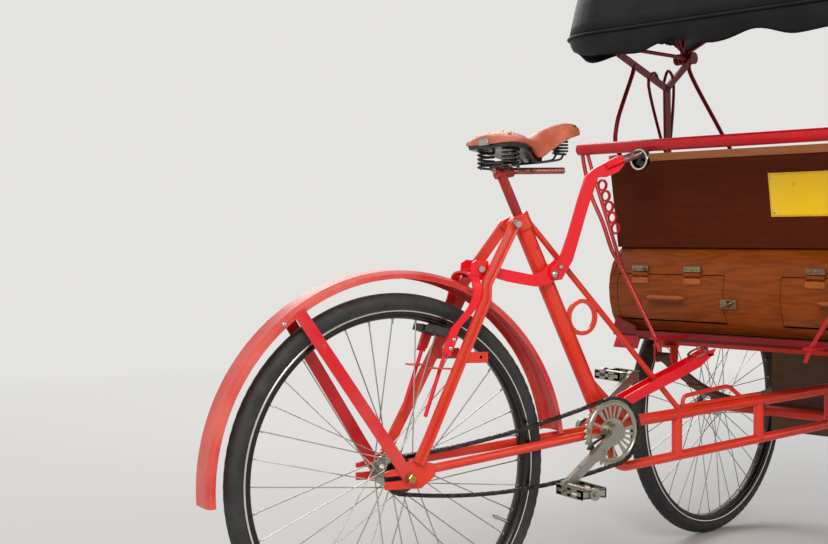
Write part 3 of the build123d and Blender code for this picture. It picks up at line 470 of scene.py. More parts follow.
def hideMaterial(name, skin, worn, rough, pebbles, bump, dust, wearSize=14.0, shine=0.5):
    material, tree, shader = newMaterial(name)
    hide = placeGroup(tree, hideGroup, Pebbles=pebbles, Wear_size=wearSize)
    colour = mixNode(tree, hide["Worn"], tint(*skin), tint(*worn))
    dusty = placeGroup(tree, dustGroup, Colour=colour, Amount=dust)
    feed(tree, shader, Base_Color=dusty["Colour"], Roughness=rough, Specular_IOR_Level=shine)
    addBump(tree, shader, hide["Height"], bump, 0.0005)
    return material


rustTone = (112, 66, 44)
finishes = {
    # paint: name, paint, faded, bare, share faded, chips, dust, coat, size of the wear, shine
    # metal: name, metal, rust, share of rust, least roughness
    # wood: name, light, dark, figure, roughness, dust, coat, shine
    # hide: name, skin, worn, roughness, pebbles, bump, dust, size of the wear, shine
    "orange_paint": paintMaterial("coral frame paint", (218, 44, 24), (222, 76, 52), rustTone, 0.55, 0.7, 0.05),
    "crimson_paint": paintMaterial(
        "crimson lever paint", (236, 0, 26), (206, 12, 28), (208, 104, 98), 0.4, 0.6, 0.02, 0.3,
    ),
    "iron_paint": paintMaterial(
        "maroon iron paint", (124, 4, 12), (112, 16, 20), (70, 36, 28), 0.5, 0.6, 0.01, 0.0, shine=0.12,
    ),
    "guard_paint": paintMaterial(
        "faded guard paint", (202, 30, 30), (220, 106, 92), (220, 196, 172), 0.8, 1.0, 0.05, 0.12, 0.8,
    ),
    "steel": metalMaterial("dull steel", (176, 172, 166), rustTone, 0.35),
    "chrome": metalMaterial("worn chrome", (214, 210, 204), (120, 84, 56), 0.16),
    "rusty_steel": metalMaterial("rusted steel", (120, 104, 92), (104, 62, 40), 0.72),
    "tyre": hideMaterial("dusty tyre rubber", (24, 26, 28), (44, 45, 46), 0.7, 900.0, 0.2, 0.12, 30.0),
    "pedal_rubber": hideMaterial("black rubber", (28, 28, 28), (54, 50, 46), 0.6, 900.0, 0.2, 0.25),
    "saddle_leather": hideMaterial("saddle hide", (176, 76, 46), (206, 118, 90), 0.42, 620.0, 0.3, 0.1, 22.0),
    "brown_panel": woodMaterial("stained back board", (98, 38, 10), (64, 20, 4), 0.4, 0.6, 0.0, 0.0, 0.1),
    "trunk_wood": woodMaterial("varnished trunk board", (164, 80, 14), (92, 38, 6), 0.6, 0.45, 0.0, 0.12, 0.18),
    "pale_wood": woodMaterial("pale rail", (168, 108, 62), (126, 76, 40), 0.4, 0.6, 0.05),
    "deck_wood": woodMaterial("plain deck board", (120, 92, 66), (84, 62, 44), 0.5, 0.75, 0.45),
    "cushion_vinyl": hideMaterial("oxblood seat vinyl", (108, 24, 26), (132, 44, 40), 0.36, 620.0, 0.25, 0.15),
    "plate": paintMaterial("yellow plate paint", (240, 196, 24), (232, 190, 50), (120, 90, 50), 0.4, 0.5, 0.12, 0.3),
    "chainSteel": metalMaterial("oily chainring steel", (158, 154, 140), (84, 66, 46), 0.34),
    "pedalMetal": metalMaterial("scuffed pedal metal", (158, 154, 142), rustTone, 0.25, 0.38),
    "hingeMetal": metalMaterial("dark hinge metal", (138, 126, 100), (84, 58, 38), 0.45),
    # rail paint darkened to deep maroon: partly the rail's own crimson, partly painted shade of the shadowed trunk
    # bottom
    "railPaintWithShade": paintMaterial(
        "rail paint deepened with painted shade", (124, 8, 18), (104, 18, 22), (70, 40, 34), 0.6, 0.6, 0.02, 0.1,
    ),
    "strapPaint": paintMaterial("strap red", (204, 16, 30), (212, 74, 66), (196, 150, 128), 0.7, 0.7, 0.05, 0.15),
    "crankMetal": metalMaterial("brushed crank steel", (150, 146, 138), (96, 78, 62), 0.4, 0.45),
    "handleWood": woodMaterial("worn handle wood", (190, 104, 40), (138, 66, 22), 0.5, 0.5, 0.0, 0.1),
    "greasedChain": metalMaterial("greased chain steel", (60, 54, 50), (60, 40, 30), 0.5),
    # orange-red post paint whose second, darker purplish tone in broad patches is painted shade from the saddle above,
    # not fading
    "postPaintAndShade": paintMaterial("post paint with painted shade", (172, 34, 28), (132, 32, 34), (92, 50, 44), 0.9, 0.8, 0.03, 0.1),
    "barPaint": paintMaterial(
        "rubbed bar crimson", (204, 6, 26), (150, 16, 26), (96, 54, 46), 0.9, 0.9, 0.02, 0.2, 0.6,
    ),
    "armMetal": metalMaterial("coppery saddle arm", (176, 112, 100), (86, 40, 36), 0.45),
    "wornGrip": metalMaterial("grip worn to the metal", (170, 140, 136), (196, 30, 36), 0.5),
    "darkRim": metalMaterial("tarnished rim", (58, 54, 52), (44, 36, 32), 0.35),
    "brass": metalMaterial("dull brass", (176, 140, 78), (86, 60, 38), 0.3),
    "greasySteel": metalMaterial("greasy hub steel", (74, 66, 60), (46, 36, 30), 0.6),
    "blackWire": metalMaterial("black spring wire", (66, 64, 64), (54, 40, 34), 0.4),
    "hood_vinyl": hideMaterial("black hood vinyl", (11, 11, 12), (22, 22, 25), 0.5, 520.0, 0.3, 0.04, 9.0, shine=0.2),
}
# the bottom rail's deep maroon paint holds painted shade of the shadowed trunk bottom
finishOfNode = {
    "handlebar": "barPaint", "bottom_rail": "railPaintWithShade", "mudguard_straps": "strapPaint",
    "rear_sprocket": "greasySteel", "cranks": "crankMetal",
}
slotOfNode = {part["node"]: part["material_slot"] for part in frame["record"]["subparts"]}
for name, node in nodes.items():
    node.data.materials.clear()
    node.data.materials.append(finishes[finishOfNode.get(name, slotOfNode[name])])
print("finishes ready")

# Hood: three gores sewn over four bows
hood = {
    "pivotX": -95.0, "pivotZ": 1297.0, "reach": 528.0, "half": 462.5, "corner": 143.0,
    "angles": (180.0, 128.7, 77.3, 26.0), "slack": 0.55, "thick": 2.4,
    "sideInner": ((180.0, 262.0), (170.0, 150.0), (150.0, 70.0), (120.0, 42.0), (60.0, 34.0), (26.0, 40.0)),
    "rows": 16,
}


# Straight-line reading of a table of pairs whose places fall
def valueAlong(table, place):
    for (a, first), (b, second) in zip(table, table[1:]):
        if place >= b:
            return first + (second - first) * (a - place) / (a - b)
    return table[-1][1]


# Pairs of radius and side offset, round the hood from the left side to the right
def hoodSection(inner, reach, half, steps=10):
    corner = hood["corner"]
    line = [(inner + (reach - corner - inner) * k / steps, half) for k in range(steps)]
    line += [
        (reach - corner + corner * sin(pi / 2 * k / steps), half - corner + corner * cos(pi / 2 * k / steps))
        for k in range(steps + 1)
    ]
    line += [(reach, (half - corner) * (1 - k / steps)) for k in range(1, steps + 1)]
    return line + [(radius, -side) for radius, side in reversed(line[:-1])]


def hoodPoint(angle, radius, side):
    turn = radians(angle)
    return Vector((hood["pivotX"] + radius * cos(turn), side, hood["pivotZ"] + radius * sin(turn)))


goreBodies = (("cab", "hood_second"), ("hood_second", "hood_third"), ("hood_third", "hood_front"))
goreNodes = ("rear_cloth", "middle_cloth", "front_cloth")
for count, (first, second) in enumerate(goreBodies):
    fromAngle, toAngle = hood["angles"][count], hood["angles"][count + 1]
    mesh = bmesh.new()
    rows = []
    for k in range(hood["rows"] + 1):
        share = k / hood["rows"]
        angle = fromAngle + (toAngle - fromAngle) * share
        halfTurn = radians(fromAngle - toAngle) / 2
        chord = cos(halfTurn) / cos(halfTurn * (1 - 2 * share))
        shrink = 1 - hood["slack"] * (1 - chord)
        inner = valueAlong(hood["sideInner"], angle)
        row = []
        for radius, side in hoodSection(inner, hood["reach"] * shrink, hood["half"]):
            edge = min(1, max(0, (radius - inner) / 120))
            hollow = 9.0 * sin(pi * share) * edge * (1 if abs(side) > hood["half"] - 1 else 0)
            place = hoodPoint(angle, radius, side - hollow * (1 if side > 0 else -1))
            row.append(mesh.verts.new(place))
        rows.append(row)
    joinRows(mesh, rows)
    area = sum(face.calc_area() for face in mesh.faces) * mm * mm
    gore = makePiece("hoodGore" + str(count + 1), mesh, "hood_vinyl", None)
    thicken = gore.modifiers.new("cloth", "SOLIDIFY")
    thicken.thickness = hood["thick"] * mm
    thicken.offset = 1
    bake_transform(gore)
    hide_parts(goreNodes[count])
print("hood ready")


# Seat and back pads
def softPad(name, lean, node, settings):
    mesh = bmesh.new()
    bmesh.ops.create_cube(mesh, size=1.0)
    low, high = Vector(settings["low"]), Vector(settings["high"])
    size, middle = high - low, (high + low) / 2
    bmesh.ops.transform(mesh, matrix=Matrix.Translation(middle) @ Matrix.Diagonal(size).to_4x4(), verts=mesh.verts)
    bmesh.ops.bevel(mesh, geom=list(mesh.edges), offset=settings["round"], segments=3, affect="EDGES", profile=0.5)
    bmesh.ops.transform(mesh, matrix=lean, verts=mesh.verts)
    pad = makePiece(name, mesh, "cushion_vinyl", None)
    remesh = pad.modifiers.new("grid", "REMESH")
    remesh.mode = "VOXEL"
    remesh.voxel_size = settings["voxel"] * mm
    applyModifiers(pad)
    puff(pad, settings)
    smooth = pad.modifiers.new("smooth", "SMOOTH")
    smooth.iterations = 3
    applyModifiers(pad)
    pad.data.materials.clear()
    pad.data.materials.append(finishes["cushion_vinyl"])
    pad.data.shade_smooth()
    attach(pad, "cab")
    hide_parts(node)


def applyModifiers(piece):
    graph = bpy.context.evaluated_depsgraph_get()
    made = bpy.data.meshes.new_from_object(piece.evaluated_get(graph))
    piece.modifiers.clear()
    piece.data = made


def puff(piece, settings):
    start = [vertex.co.copy() for vertex in piece.data.vertices]
    cloth = piece.modifiers.new("puff", "CLOTH")
    cloth.settings.use_pressure = True
    cloth.settings.uniform_pressure_force = settings["pressure"]
    cloth.settings.effector_weights.gravity = 0
    cloth.settings.tension_stiffness = 20
    cloth.settings.compression_stiffness = 20
    for step in range(1, 21):
        scene.frame_set(step)
    graph = bpy.context.evaluated_depsgraph_get()
    moved = [vertex.co.copy() for vertex in piece.evaluated_get(graph).data.vertices]
    piece.modifiers.clear()
    scene.frame_set(1)
    for vertex, before, after in zip(piece.data.vertices, start, moved):
        step = after - before
        if step.length > settings["cap"] * mm:
            step = step.normalized() * settings["cap"] * mm
        vertex.co = before + step


seatBox = {"low": (-292, -372, 608), "high": (116, 372, 676), "round": 16, "voxel": 9, "pressure": 3.0, "cap": 12}
softPad("benchPad", Matrix.Identity(4), "seat_cushion", seatBox)
backBox = {"low": (-40, -372, 10), "high": (14, 372, 300), "round": 14, "voxel": 9, "pressure": 3.0, "cap": 10}
backLean = Matrix.Translation((-290, 0, 700)) @ Matrix.Rotation(radians(-20.8), 4, "Y")
softPad("backPad", backLean, "back_cushion", backBox)
print("pads ready")

# Tyres with a tread of ribs and slanted cuts
tyre = {
    "outer": 357.0, "ring": 338.0, "half": 19.0, "bead": 309.5, "beadHalf": 14.6,
    "turns": 288, "cuts": 96, "cutDeep": 1.3,
    # side offsets between which a groove runs round, and the offset from which the cuts start
    "grooves": ((4.5, 6.5), (10.5, 12.5)), "grooveShare": 0.8, "cutFrom": 5.5, "cutShare": 0.67, "slant": 0.05,
}


# Pairs of radius and side offset from bead to bead, with how much of the tread shows
def tyreProfile():
    line = [(tyre["bead"], -tyre["beadHalf"], 0.0), (322.0, -15.2, 0.0)]
    steps = 22
    for k in range(steps + 1):
        turn = radians(-118 + 236 * k / steps)
        radius = tyre["ring"] + tyre["half"] * cos(turn)
        side = tyre["half"] * sin(turn)
        line.append((radius, side, max(0.0, cos(turn * 1.25)) if abs(turn) < radians(58) else 0.0))
    return line + [(322.0, 15.2, 0.0), (tyre["bead"], tyre["beadHalf"], 0.0)]


for name in wheelNames:
    profile = tyreProfile()
    mesh = bmesh.new()
    rings = []
    for i in range(tyre["turns"]):
        angle = 2 * pi * i / tyre["turns"]
        ring = []
        for radius, side, tread in profile:
            if tread:
                place = i / tyre["turns"] * tyre["cuts"] + abs(side) * tyre["slant"]
                cut = place - floor(place) > tyre["cutShare"] and abs(side) > tyre["cutFrom"]
                groove = any(low < abs(side) < high for low, high in tyre["grooves"])
                radius -= tyre["cutDeep"] * max(float(cut), groove * tyre["grooveShare"])
            ring.append((radius * cos(angle), side, radius * sin(angle)))
        rings.append(ring)
    addRings(mesh, rings, closed=True)
    makePiece(name + "TyreSkin", mesh, "tyre", name + "_wheel", name + "_tyre", smoothAngle=50)

# Rims: a dark hollow band between two bright rolled edges
rimShape = {
    "band": (
        (323, -15.8), (322, -17.6), (314, -17.2), (309, -12), (306.3, -6), (306.0, 0),
        (306.3, 6), (309, 12), (314, 17.2), (322, 17.6), (323, 15.8), (314, 15.4),
        (311, 10), (308.4, 5), (308.0, 0), (308.4, -5), (311, -10), (314, -15.4),
    ),
    "edge": 322.6, "edgeSide": 16.8, "edgeRadius": 2.0, "steps": 144,
}
for name in wheelNames:
    mesh = bmesh.new()
    turns = [2 * pi * k / rimShape["steps"] for k in range(rimShape["steps"])]
    addRings(mesh, [[(r * cos(turn), y, r * sin(turn)) for r, y in rimShape["band"]] for turn in turns], closed=True)
    makePiece(name + "RimBand", mesh, "darkRim", name + "_wheel", name + "_rim")
    mesh = bmesh.new()
    for side in (-1, 1):
        edge, y = rimShape["edge"], side * rimShape["edgeSide"]
        line = [(edge * cos(turn), y, edge * sin(turn)) for turn in turns]
        addTube(mesh, line, rimShape["edgeRadius"], 6, closed=True)
    makePiece(name + "RimEdges", mesh, "chrome", name + "_wheel")

# Spoke nipples and tyre valves
spokeEnd = {
    "rim": 306.5, "count": 36, "nipple": ((0, 3.2), (2, 3.2), (2.5, 2.1), (11, 1.89)),
    "valveAt": 25, "valve": ((0, 3.4), (30, 3.4), (31, 4.4), (38, 4.4), (40, 2.5), (44, 2.5)),
}
for name in wheelNames:
    mesh = bmesh.new()
    places = [(k * 360 / spokeEnd["count"], "nipple", 8) for k in range(spokeEnd["count"])]
    for turn, shape, sides in places + [(spokeEnd["valveAt"], "valve", 10)]:
        outward = Vector((cos(radians(turn)), 0, -sin(radians(turn))))
        addLathe(mesh, spokeEnd[shape], outward * spokeEnd["rim"], -outward, sides)
    makePiece(name + "Nipples", mesh, "steel", name + "_wheel")
print("wheels ready")

# Chain of separate links round both sprockets
chain = {
    "pitch": 12.7, "ringTeeth": 36, "smallTeeth": 18, "ring": (518.0, 405.0), "small": (0.0, 357.0),
    "line": -42.0, "sagLow": 24.0, "sagHigh": 13.0, "plateThick": 0.9, "plateWide": 7.6,
    # half length, radius and number of sides, and how far the inner and outer plates stand off
    "roller": (2.2, 3.9, 8), "pin": (4.4, 1.8, 6), "standOff": (2.6, 3.6),
}


# Points between two ends of a run that hangs a little
def hanging(first, last, sag, steps=16):
    return [
        first.lerp(last, k / steps) - Vector((0, 0, sag * 4 * (k / steps) * (1 - k / steps)))
        for k in range(1, steps)
    ]


def arc(centre, radius, start, sweep, steps):
    turns = [start + sweep * k / steps for k in range(steps + 1)]
    return [Vector((centre[0] + radius * cos(turn), 0, centre[1] + radius * sin(turn))) for turn in turns]


def chainRoute():
    large = chain["pitch"] / (2 * sin(pi / chain["ringTeeth"]))
    small = chain["pitch"] / (2 * sin(pi / chain["smallTeeth"]))
    spanX, spanZ = chain["ring"][0] - chain["small"][0], chain["ring"][1] - chain["small"][1]
    spread, tilt = hypot(spanX, spanZ), atan2(spanZ, spanX)
    lift = asin((large - small) / spread)
    top, low = tilt + pi / 2 + lift, tilt - pi / 2 - lift
    route = arc(chain["ring"], large, top, low - top, 40)
    behind = arc(chain["small"], small, low, top - low - 2 * pi, 30)
    slackLow = hanging(route[-1], behind[0], chain["sagLow"])
    slackHigh = hanging(behind[-1], route[0], chain["sagHigh"])
    return route + slackLow + behind + slackHigh


# Even points along a closed route
def pointsAlong(route, count):
    closed = route + [route[0]]
    lengths = [(b - a).length for a, b in zip(closed, closed[1:])]
    whole = sum(lengths)
    points, span, passed = [], 0, 0.0
    for k in range(count):
        goal = whole * k / count
        while passed + lengths[span] < goal:
            passed += lengths[span]
            span += 1
        points.append(closed[span].lerp(closed[span + 1], (goal - passed) / lengths[span]))
    return points, whole


def addLinkPlate(mesh, first, second, side, thick, wide):
    along = (second - first).normalized()
    up = Vector((-along.z, 0, along.x))
    outline = []
    for middle, way in ((second, 1), (first, -1)):
        for k in range(7):
            turn = radians(-78 + 156 * k / 6)
            outline.append(middle + (along * cos(turn) + up * sin(turn)) * wide / 2 * way)
    rings = [[point + Vector((0, side + step, 0)) for point in outline] for step in (-thick / 2, thick / 2)]
    addRings(mesh, rings)


route = chainRoute()
links = 2 * round(pointsAlong(route, 2)[1] / chain["pitch"] / 2)
points, whole = pointsAlong(route, links)
mesh = bmesh.new()
for k, point in enumerate(points):
    ahead = points[(k + 1) % links]
    apart = chain["standOff"][k % 2]
    for way in (-1, 1):
        addLinkPlate(mesh, point, ahead, chain["line"] + way * apart, chain["plateThick"], chain["plateWide"])
    for half, radius, sides in (chain["roller"], chain["pin"]):
        addLathe(mesh, ((-half, radius), (half, radius)), point + Vector((0, chain["line"], 0)), leftward, sides)
makePiece("chainLinks", mesh, "greasedChain", "frame", "chain")
print("chain ready,", links, "links")

# Rider's frame: tubes, lugs and ring
rider = {
    "crank": (518.0, 405.0), "foot": (533.0, 404.0), "lean": 26.6, "tube": 18.0, "top": 524.0,
    "post": 10.5, "postTop": 622.0, "ear": 512.0, "pivot": 1300.0, "heel": 566.0, "heelBend": 30.0,
    "upper": ((538, 412), (1280, 457)), "lower": ((580, 317), (1280, 371)), "posts": (737.0, 989.0, 1224.0),
    # outer radius and half length of the crank shell and of its cups, round one bore
    "shell": ((22, 32), (18, 36)), "bore": 9,
    "collarFrom": 488.0, "collar": ((0, 18), (1, 20), (3, 22), (34, 22), (36, 20)),
    "ringAt": (251, -52), "ring": (30.5, 39.5, -4, 4),
    # earBehind is the middle of the ears' round end, and earSides are the ends of their thickness
    "earBehind": 28, "earRound": 13, "earFoot": 12, "earSides": (8, 15),
    # places along the upper tube with its radius there
    "upperSteps": ((538, 13), (780, 13), (792, 11), (970, 11), (982, 13), (1280, 13)),
    "cable": ((744, 992), 15, 5), "stay": ((753, 0, 425), (754, 0, 463), (893, 0, 479), (938, 0, 446)),
    "thin": 5, "brace": 6.5, "lowerTube": 10.8, "postTube": 12, "headTube": (16, 26, -73, 73),
}
crankX, crankZ = rider["crank"]
tubeUp = Vector((-sin(radians(rider["lean"])), 0, cos(radians(rider["lean"]))))
tubeBack = Vector((-cos(radians(rider["lean"])), 0, -sin(radians(rider["lean"]))))


def onTube(along, behind=0.0):
    return Vector((rider["foot"][0], 0, rider["foot"][1])) + tubeUp * along + tubeBack * behind


def flatPair(point):
    return (point.x, point.z)


def onLine(line, x):
    (x0, z0), (x1, z1) = line
    return Vector((x, 0, z0 + (z1 - z0) * (x - x0) / (x1 - x0)))


mesh = bmesh.new()
for outer, half in rider["shell"]:
    addWasher(mesh, (crankX, 0, crankZ), leftward, rider["bore"], outer, -half, half)
addTube(mesh, (onTube(24), onTube(rider["top"] - 1)), rider["tube"], 28)
addLathe(mesh, rider["collar"], onTube(rider["collarFrom"]), tubeUp, 28)
addWasher(mesh, onTube(*rider["ringAt"]), leftward, *rider["ring"], 36)
earAt, earRound, earBehind = rider["ear"], rider["earRound"], rider["earBehind"]
ear = [onTube(earAt + earRound, rider["earFoot"])]
for turn in range(0, 181, 20):
    ear.append(onTube(earAt + earRound * cos(radians(turn)), earBehind + earRound * sin(radians(turn))))
ear.append(onTube(earAt - earRound, rider["earFoot"]))
for side in (-1, 1):
    addPlate(mesh, [flatPair(point) for point in ear], *[side * y for y in rider["earSides"]])
addPlate(mesh, (
    (crankX + 12, crankZ + 14), flatPair(onTube(150)), (crankX - 22, crankZ + 112),
    (crankX + 24, crankZ + 68), (crankX + 76, crankZ + 34), (crankX + 76, crankZ + 16),
), -3, 3)
upper, lower = rider["upper"], rider["lower"]
places, radii = zip(*rider["upperSteps"])
addTube(mesh, [onLine(upper, x) for x in places], radii, 20)
ends, rise, radius = rider["cable"]
addTube(mesh, [onLine(upper, x) + Vector((0, 0, rise)) for x in ends], radius)
heel = [onLine(lower, 1280), onLine(lower, rider["heel"]), Vector((crankX + 14, 0, crankZ - 19))]
addTube(mesh, bent(heel, rider["heelBend"], 8), rider["lowerTube"], 20)
for x in rider["posts"]:
    addTube(mesh, (onLine(lower, x), onLine(upper, x)), rider["postTube"], 18)
addTube(mesh, bent(rider["stay"], 14), rider["thin"])
addWasher(mesh, (rider["pivot"], 0, 411), upward, *rider["headTube"], 32)
addTube(mesh, ((754, 0, 422), onTube(500, -17)), rider["brace"], 14)
makePiece("frameTubes", mesh, "orange_paint", "frame", "seat_tube", "main_tubes", "brace_tube")

mesh = bmesh.new()
postTop = onTube(rider["postTop"])
addTube(mesh, (onTube(450), postTop), rider["post"], 18)
addTube(mesh, (postTop + Vector((-10, 0, -6)), postTop + Vector((30, 0, 0))), 11, 18)
# the pillar's darker purplish patches are painted shade under the saddle
makePiece("seatPillar", mesh, "postPaintAndShade", "frame", "seat_post")
mesh = bmesh.new()
addTube(mesh, (postTop + Vector((-14, 0, 0)), postTop + Vector((162, 0, 6))), 7, 14)
makePiece("seatArm", mesh, "armMetal", "frame")

# Seat stays: grooved flat bars with a guide loop and a drilled tab
stays = {
    "width": 22, "thick": 8, "topY": 19.2, "topRadius": 12, "hole": 3.2, "tabY": 55,
    "points": ((194, 44, 730), (190, 48, 699), (45, 67.6, 430), (20, 67.6, 383)),
    "tab": ((189, 583), (189, 571), (122, 573), (122, 595), (189, 593)),
    "loop": ((114, 55, 562), (64, 54, 566), (64, 36, 566), (80, 36, 563)),
}
stayTop = onTube(rider["ear"], rider["earBehind"])
mesh = bmesh.new()
for side in (-1, 1):
    line = [(stayTop.x, side * stays["topY"], stayTop.z)] + [(x, side * y, z) for x, y, z in stays["points"]]
    addBar(mesh, line, stays["width"], stays["thick"], groove=side)
    addLathe(mesh, ((-4, stays["topRadius"]), (4, stays["topRadius"])), line[0], leftward, 20)
    hole = [
        (172 + stays["hole"] * cos(radians(turn)), 583 + stays["hole"] * sin(radians(turn)))
        for turn in range(0, -361, -40)
    ]
    addPlate(mesh, [stays["tab"][0], *hole, *stays["tab"]], side * stays["tabY"] - 1.5, side * stays["tabY"] + 1.5)
    addBar(mesh, bent([(x, side * y, z) for x, y, z in stays["loop"]], 8), 13, 3, upward)
makePiece("stayBars", mesh, "orange_paint", "frame", "seat_stays")

# Crimson channel under the cab, with a flat steel ring on it
tongue = {
    "side": (
        (566, 462), (574, 474), (651, 504), (721, 528), (780, 550), (812, 564), (838, 569), (830, 556),
        (792, 530), (721, 503), (651, 479), (588, 456), (574, 450),
    ),
    "web": ((568, 452), (566, 460), (650, 485), (721, 509), (790, 535), (794, 532), (721, 504), (651, 480)),
    "plates": (("side", -17, -14), ("side", 14, 17), ("web", -14.5, 14.5)),
}
mesh = bmesh.new()
for outline, low, high in tongue["plates"]:
    addPlate(mesh, tongue[outline], low, high)
addBox(mesh, (814, -17, 553), (832, 17, 558))
makePiece("tongueChannel", mesh, "crimson_paint", "frame", "rest_tongue")
mesh = bmesh.new()
addWasher(mesh, (798, 0, 561), (-0.42, 0, 0.91), 20, 25, -1.5, 1.5, 36)
makePiece("tongueRing", mesh, "wornGrip", "frame")

# Rear brake: lever, link and clevis
brake = {
    "arm": (
        (474, 970), (453, 955), (433, 904), (406, 827), (384, 777), (362, 760), (361, 744), (372, 733),
        (390, 735), (401, 752), (418, 775), (428, 803), (458, 888), (485, 952),
    ),
    "grip": ((474, 970), (512, 988), (542, 1000), (560, 986), (541, 966), (507, 953), (485, 952)),
    "link": (
        (176, 776), (208, 766), (241, 760), (279, 753), (318, 746), (342, 752), (357, 765), (376, 778),
        (394, 762), (384, 736), (357, 725), (327, 721), (294, 726), (255, 733), (222, 742), (176, 748),
    ),
    "clevis": ((168, 772), (178, 778), (206, 776), (211, 744), (200, 736), (176, 738), (166, 750)),
    "armY": -33.0, "thick": 6.0, "clevisThick": 4, "clevisLeft": 10, "pin": (189, 0, 759), "pivot": (371, 0, 746),
    "shoe": ((99, 628), (119, 626), (103, 589), (86, 593)), "shoeY": 52, "rodY": 46,
    "stirrup": (
        (168, 0, 754), (168, 22, 751), (169, 36, 742), (170, 44, 726), (168, 47, 706), (158, 47, 684),
        (140, 47, 664), (122, 47, 648), (112, 47, 632), (96, 47, 596),
    ),
}
mesh = bmesh.new()
armY, thick = brake["armY"], brake["thick"]
middleY = armY + 3
for outline, layer in (("arm", 0), ("grip", 0), ("link", 1)):
    addPlate(mesh, brake[outline], armY + layer * thick, armY + (layer + 1) * thick)
addTube(mesh, ((506, middleY, 975), (552, middleY, 991)), 8.5, 16)
for low in (armY + thick - brake["clevisThick"], brake["clevisLeft"]):
    addPlate(mesh, brake["clevis"], low, low + brake["clevisThick"])
addBox(mesh, (172, armY + thick - 2, 738), (204, 12, 742))
addLathe(mesh, ((armY + 2, 5), (14, 5)), brake["pin"], leftward, 14)
addLathe(mesh, ((armY - 1, 7), (-18.2, 7)), brake["pivot"], leftward, 16)
makePiece("leverIron", mesh, "crimson_paint", "frame", "brake_lever")
mesh = bmesh.new()
addTube(mesh, ((550, middleY, 990.3), (592, middleY, 1004.8), (602, middleY, 1008)), (8.7, 8.7, 6.5), 16)
makePiece("leverGrip", mesh, "wornGrip", "frame")
mesh = bmesh.new()
for side in (-1, 1):
    line = curved([(x, side * y, z) for x, y, z in brake["stirrup"]], 3)
    addBar(mesh, line, 4, 20, (1, 0, 0))
    addPlate(mesh, brake["shoe"], side * brake["shoeY"] - 3, side * brake["shoeY"] + 3)
    addTube(mesh, ((94, side * brake["rodY"], 594), (48, side * brake["rodY"], 470)), 4)
addWasher(mesh, brake["pin"], leftward, 5.2, 9, -16, 8, 18)
addBar(mesh, ((168, -4, 754), (181, -4, 757)), 10, 20)
makePiece("stirrupIron", mesh, "crimson_paint", "frame", "brake_stirrup")
print("rider's frame ready")

# Chainring: toothed rim, slotted plate and boss
ringPlate = {
    "teeth": 36, "root": 68.6, "tip": 75.5, "y": -42.0, "thick": 2.4, "inner": 31.0, "outer": 57.0,
    # middles of three groups of slots, and the slots and long windows of each, all in degrees
    "groups": (97, 217, 337), "slots": (-21, -7, 7, 21), "slotHalf": 3.9, "windows": (46, 74), "windowHalf": 11.0,
    "flank": 72.5, "bore": 8.4, "bossY": -46, "bossRadius": 23, "bossHalf": 5,
}


def addSector(mesh, centre, inner, outer, fromTurn, toTurn, low, high):
    steps = max(1, round(abs(toTurn - fromTurn) / 6))
    corners = ((inner, low), (outer, low), (outer, high), (inner, high))
    rings = []
    for k in range(steps + 1):
        turn = radians(fromTurn + (toTurn - fromTurn) * k / steps)
        out = Vector((cos(turn), 0, sin(turn)))
        rings.append([centre + out * radius + Vector((0, y, 0)) for radius, y in corners])
    addRings(mesh, rings)


mesh = bmesh.new()
centre = Vector((crankX, 0, crankZ))
low, high = ringPlate["y"] - ringPlate["thick"] / 2, ringPlate["y"] + ringPlate["thick"] / 2
root, flank, tip, outer = (ringPlate[key] for key in ("root", "flank", "tip", "outer"))
rings = []
for k in range(ringPlate["teeth"] * 6):
    turn = 2 * pi * k / (ringPlate["teeth"] * 6)
    edge = (root, root, flank, tip, tip, flank)[k % 6]
    out = Vector((cos(turn), 0, sin(turn)))
    # a low bead stands on the plate's outer side, from radius 62 to 66
    section = (
        (outer, low), (62, low), (63, low - 1), (65, low - 1), (66, low), (edge, low), (edge, high), (outer, high),
    )
    rings.append([centre + out * radius + Vector((0, y, 0)) for radius, y in section])
addRings(mesh, rings, closed=True)
holes = []
for group in ringPlate["groups"]:
    holes += [(group + step, ringPlate["slotHalf"]) for step in ringPlate["slots"]]
    holes += [(group + step, ringPlate["windowHalf"]) for step in ringPlate["windows"]]
holes.sort()
for (turn, half), (nextTurn, nextHalf) in zip(holes, holes[1:] + [(holes[0][0] + 360, holes[0][1])]):
    addSector(mesh, centre, ringPlate["inner"] - 1, ringPlate["outer"] + 1, turn + half, nextTurn - nextHalf, low, high)
addWasher(mesh, centre + Vector((0, ringPlate["y"], 0)), leftward, ringPlate["bore"], ringPlate["inner"], -1.2, 1.2, 48)
bossHalf = ringPlate["bossHalf"]
bossAt = centre + Vector((0, ringPlate["bossY"], 0))
addWasher(mesh, bossAt, leftward, ringPlate["bore"], ringPlate["bossRadius"], -bossHalf, bossHalf, 32)
makePiece("ringPlate", mesh, "chainSteel", "crankset", "chainring")

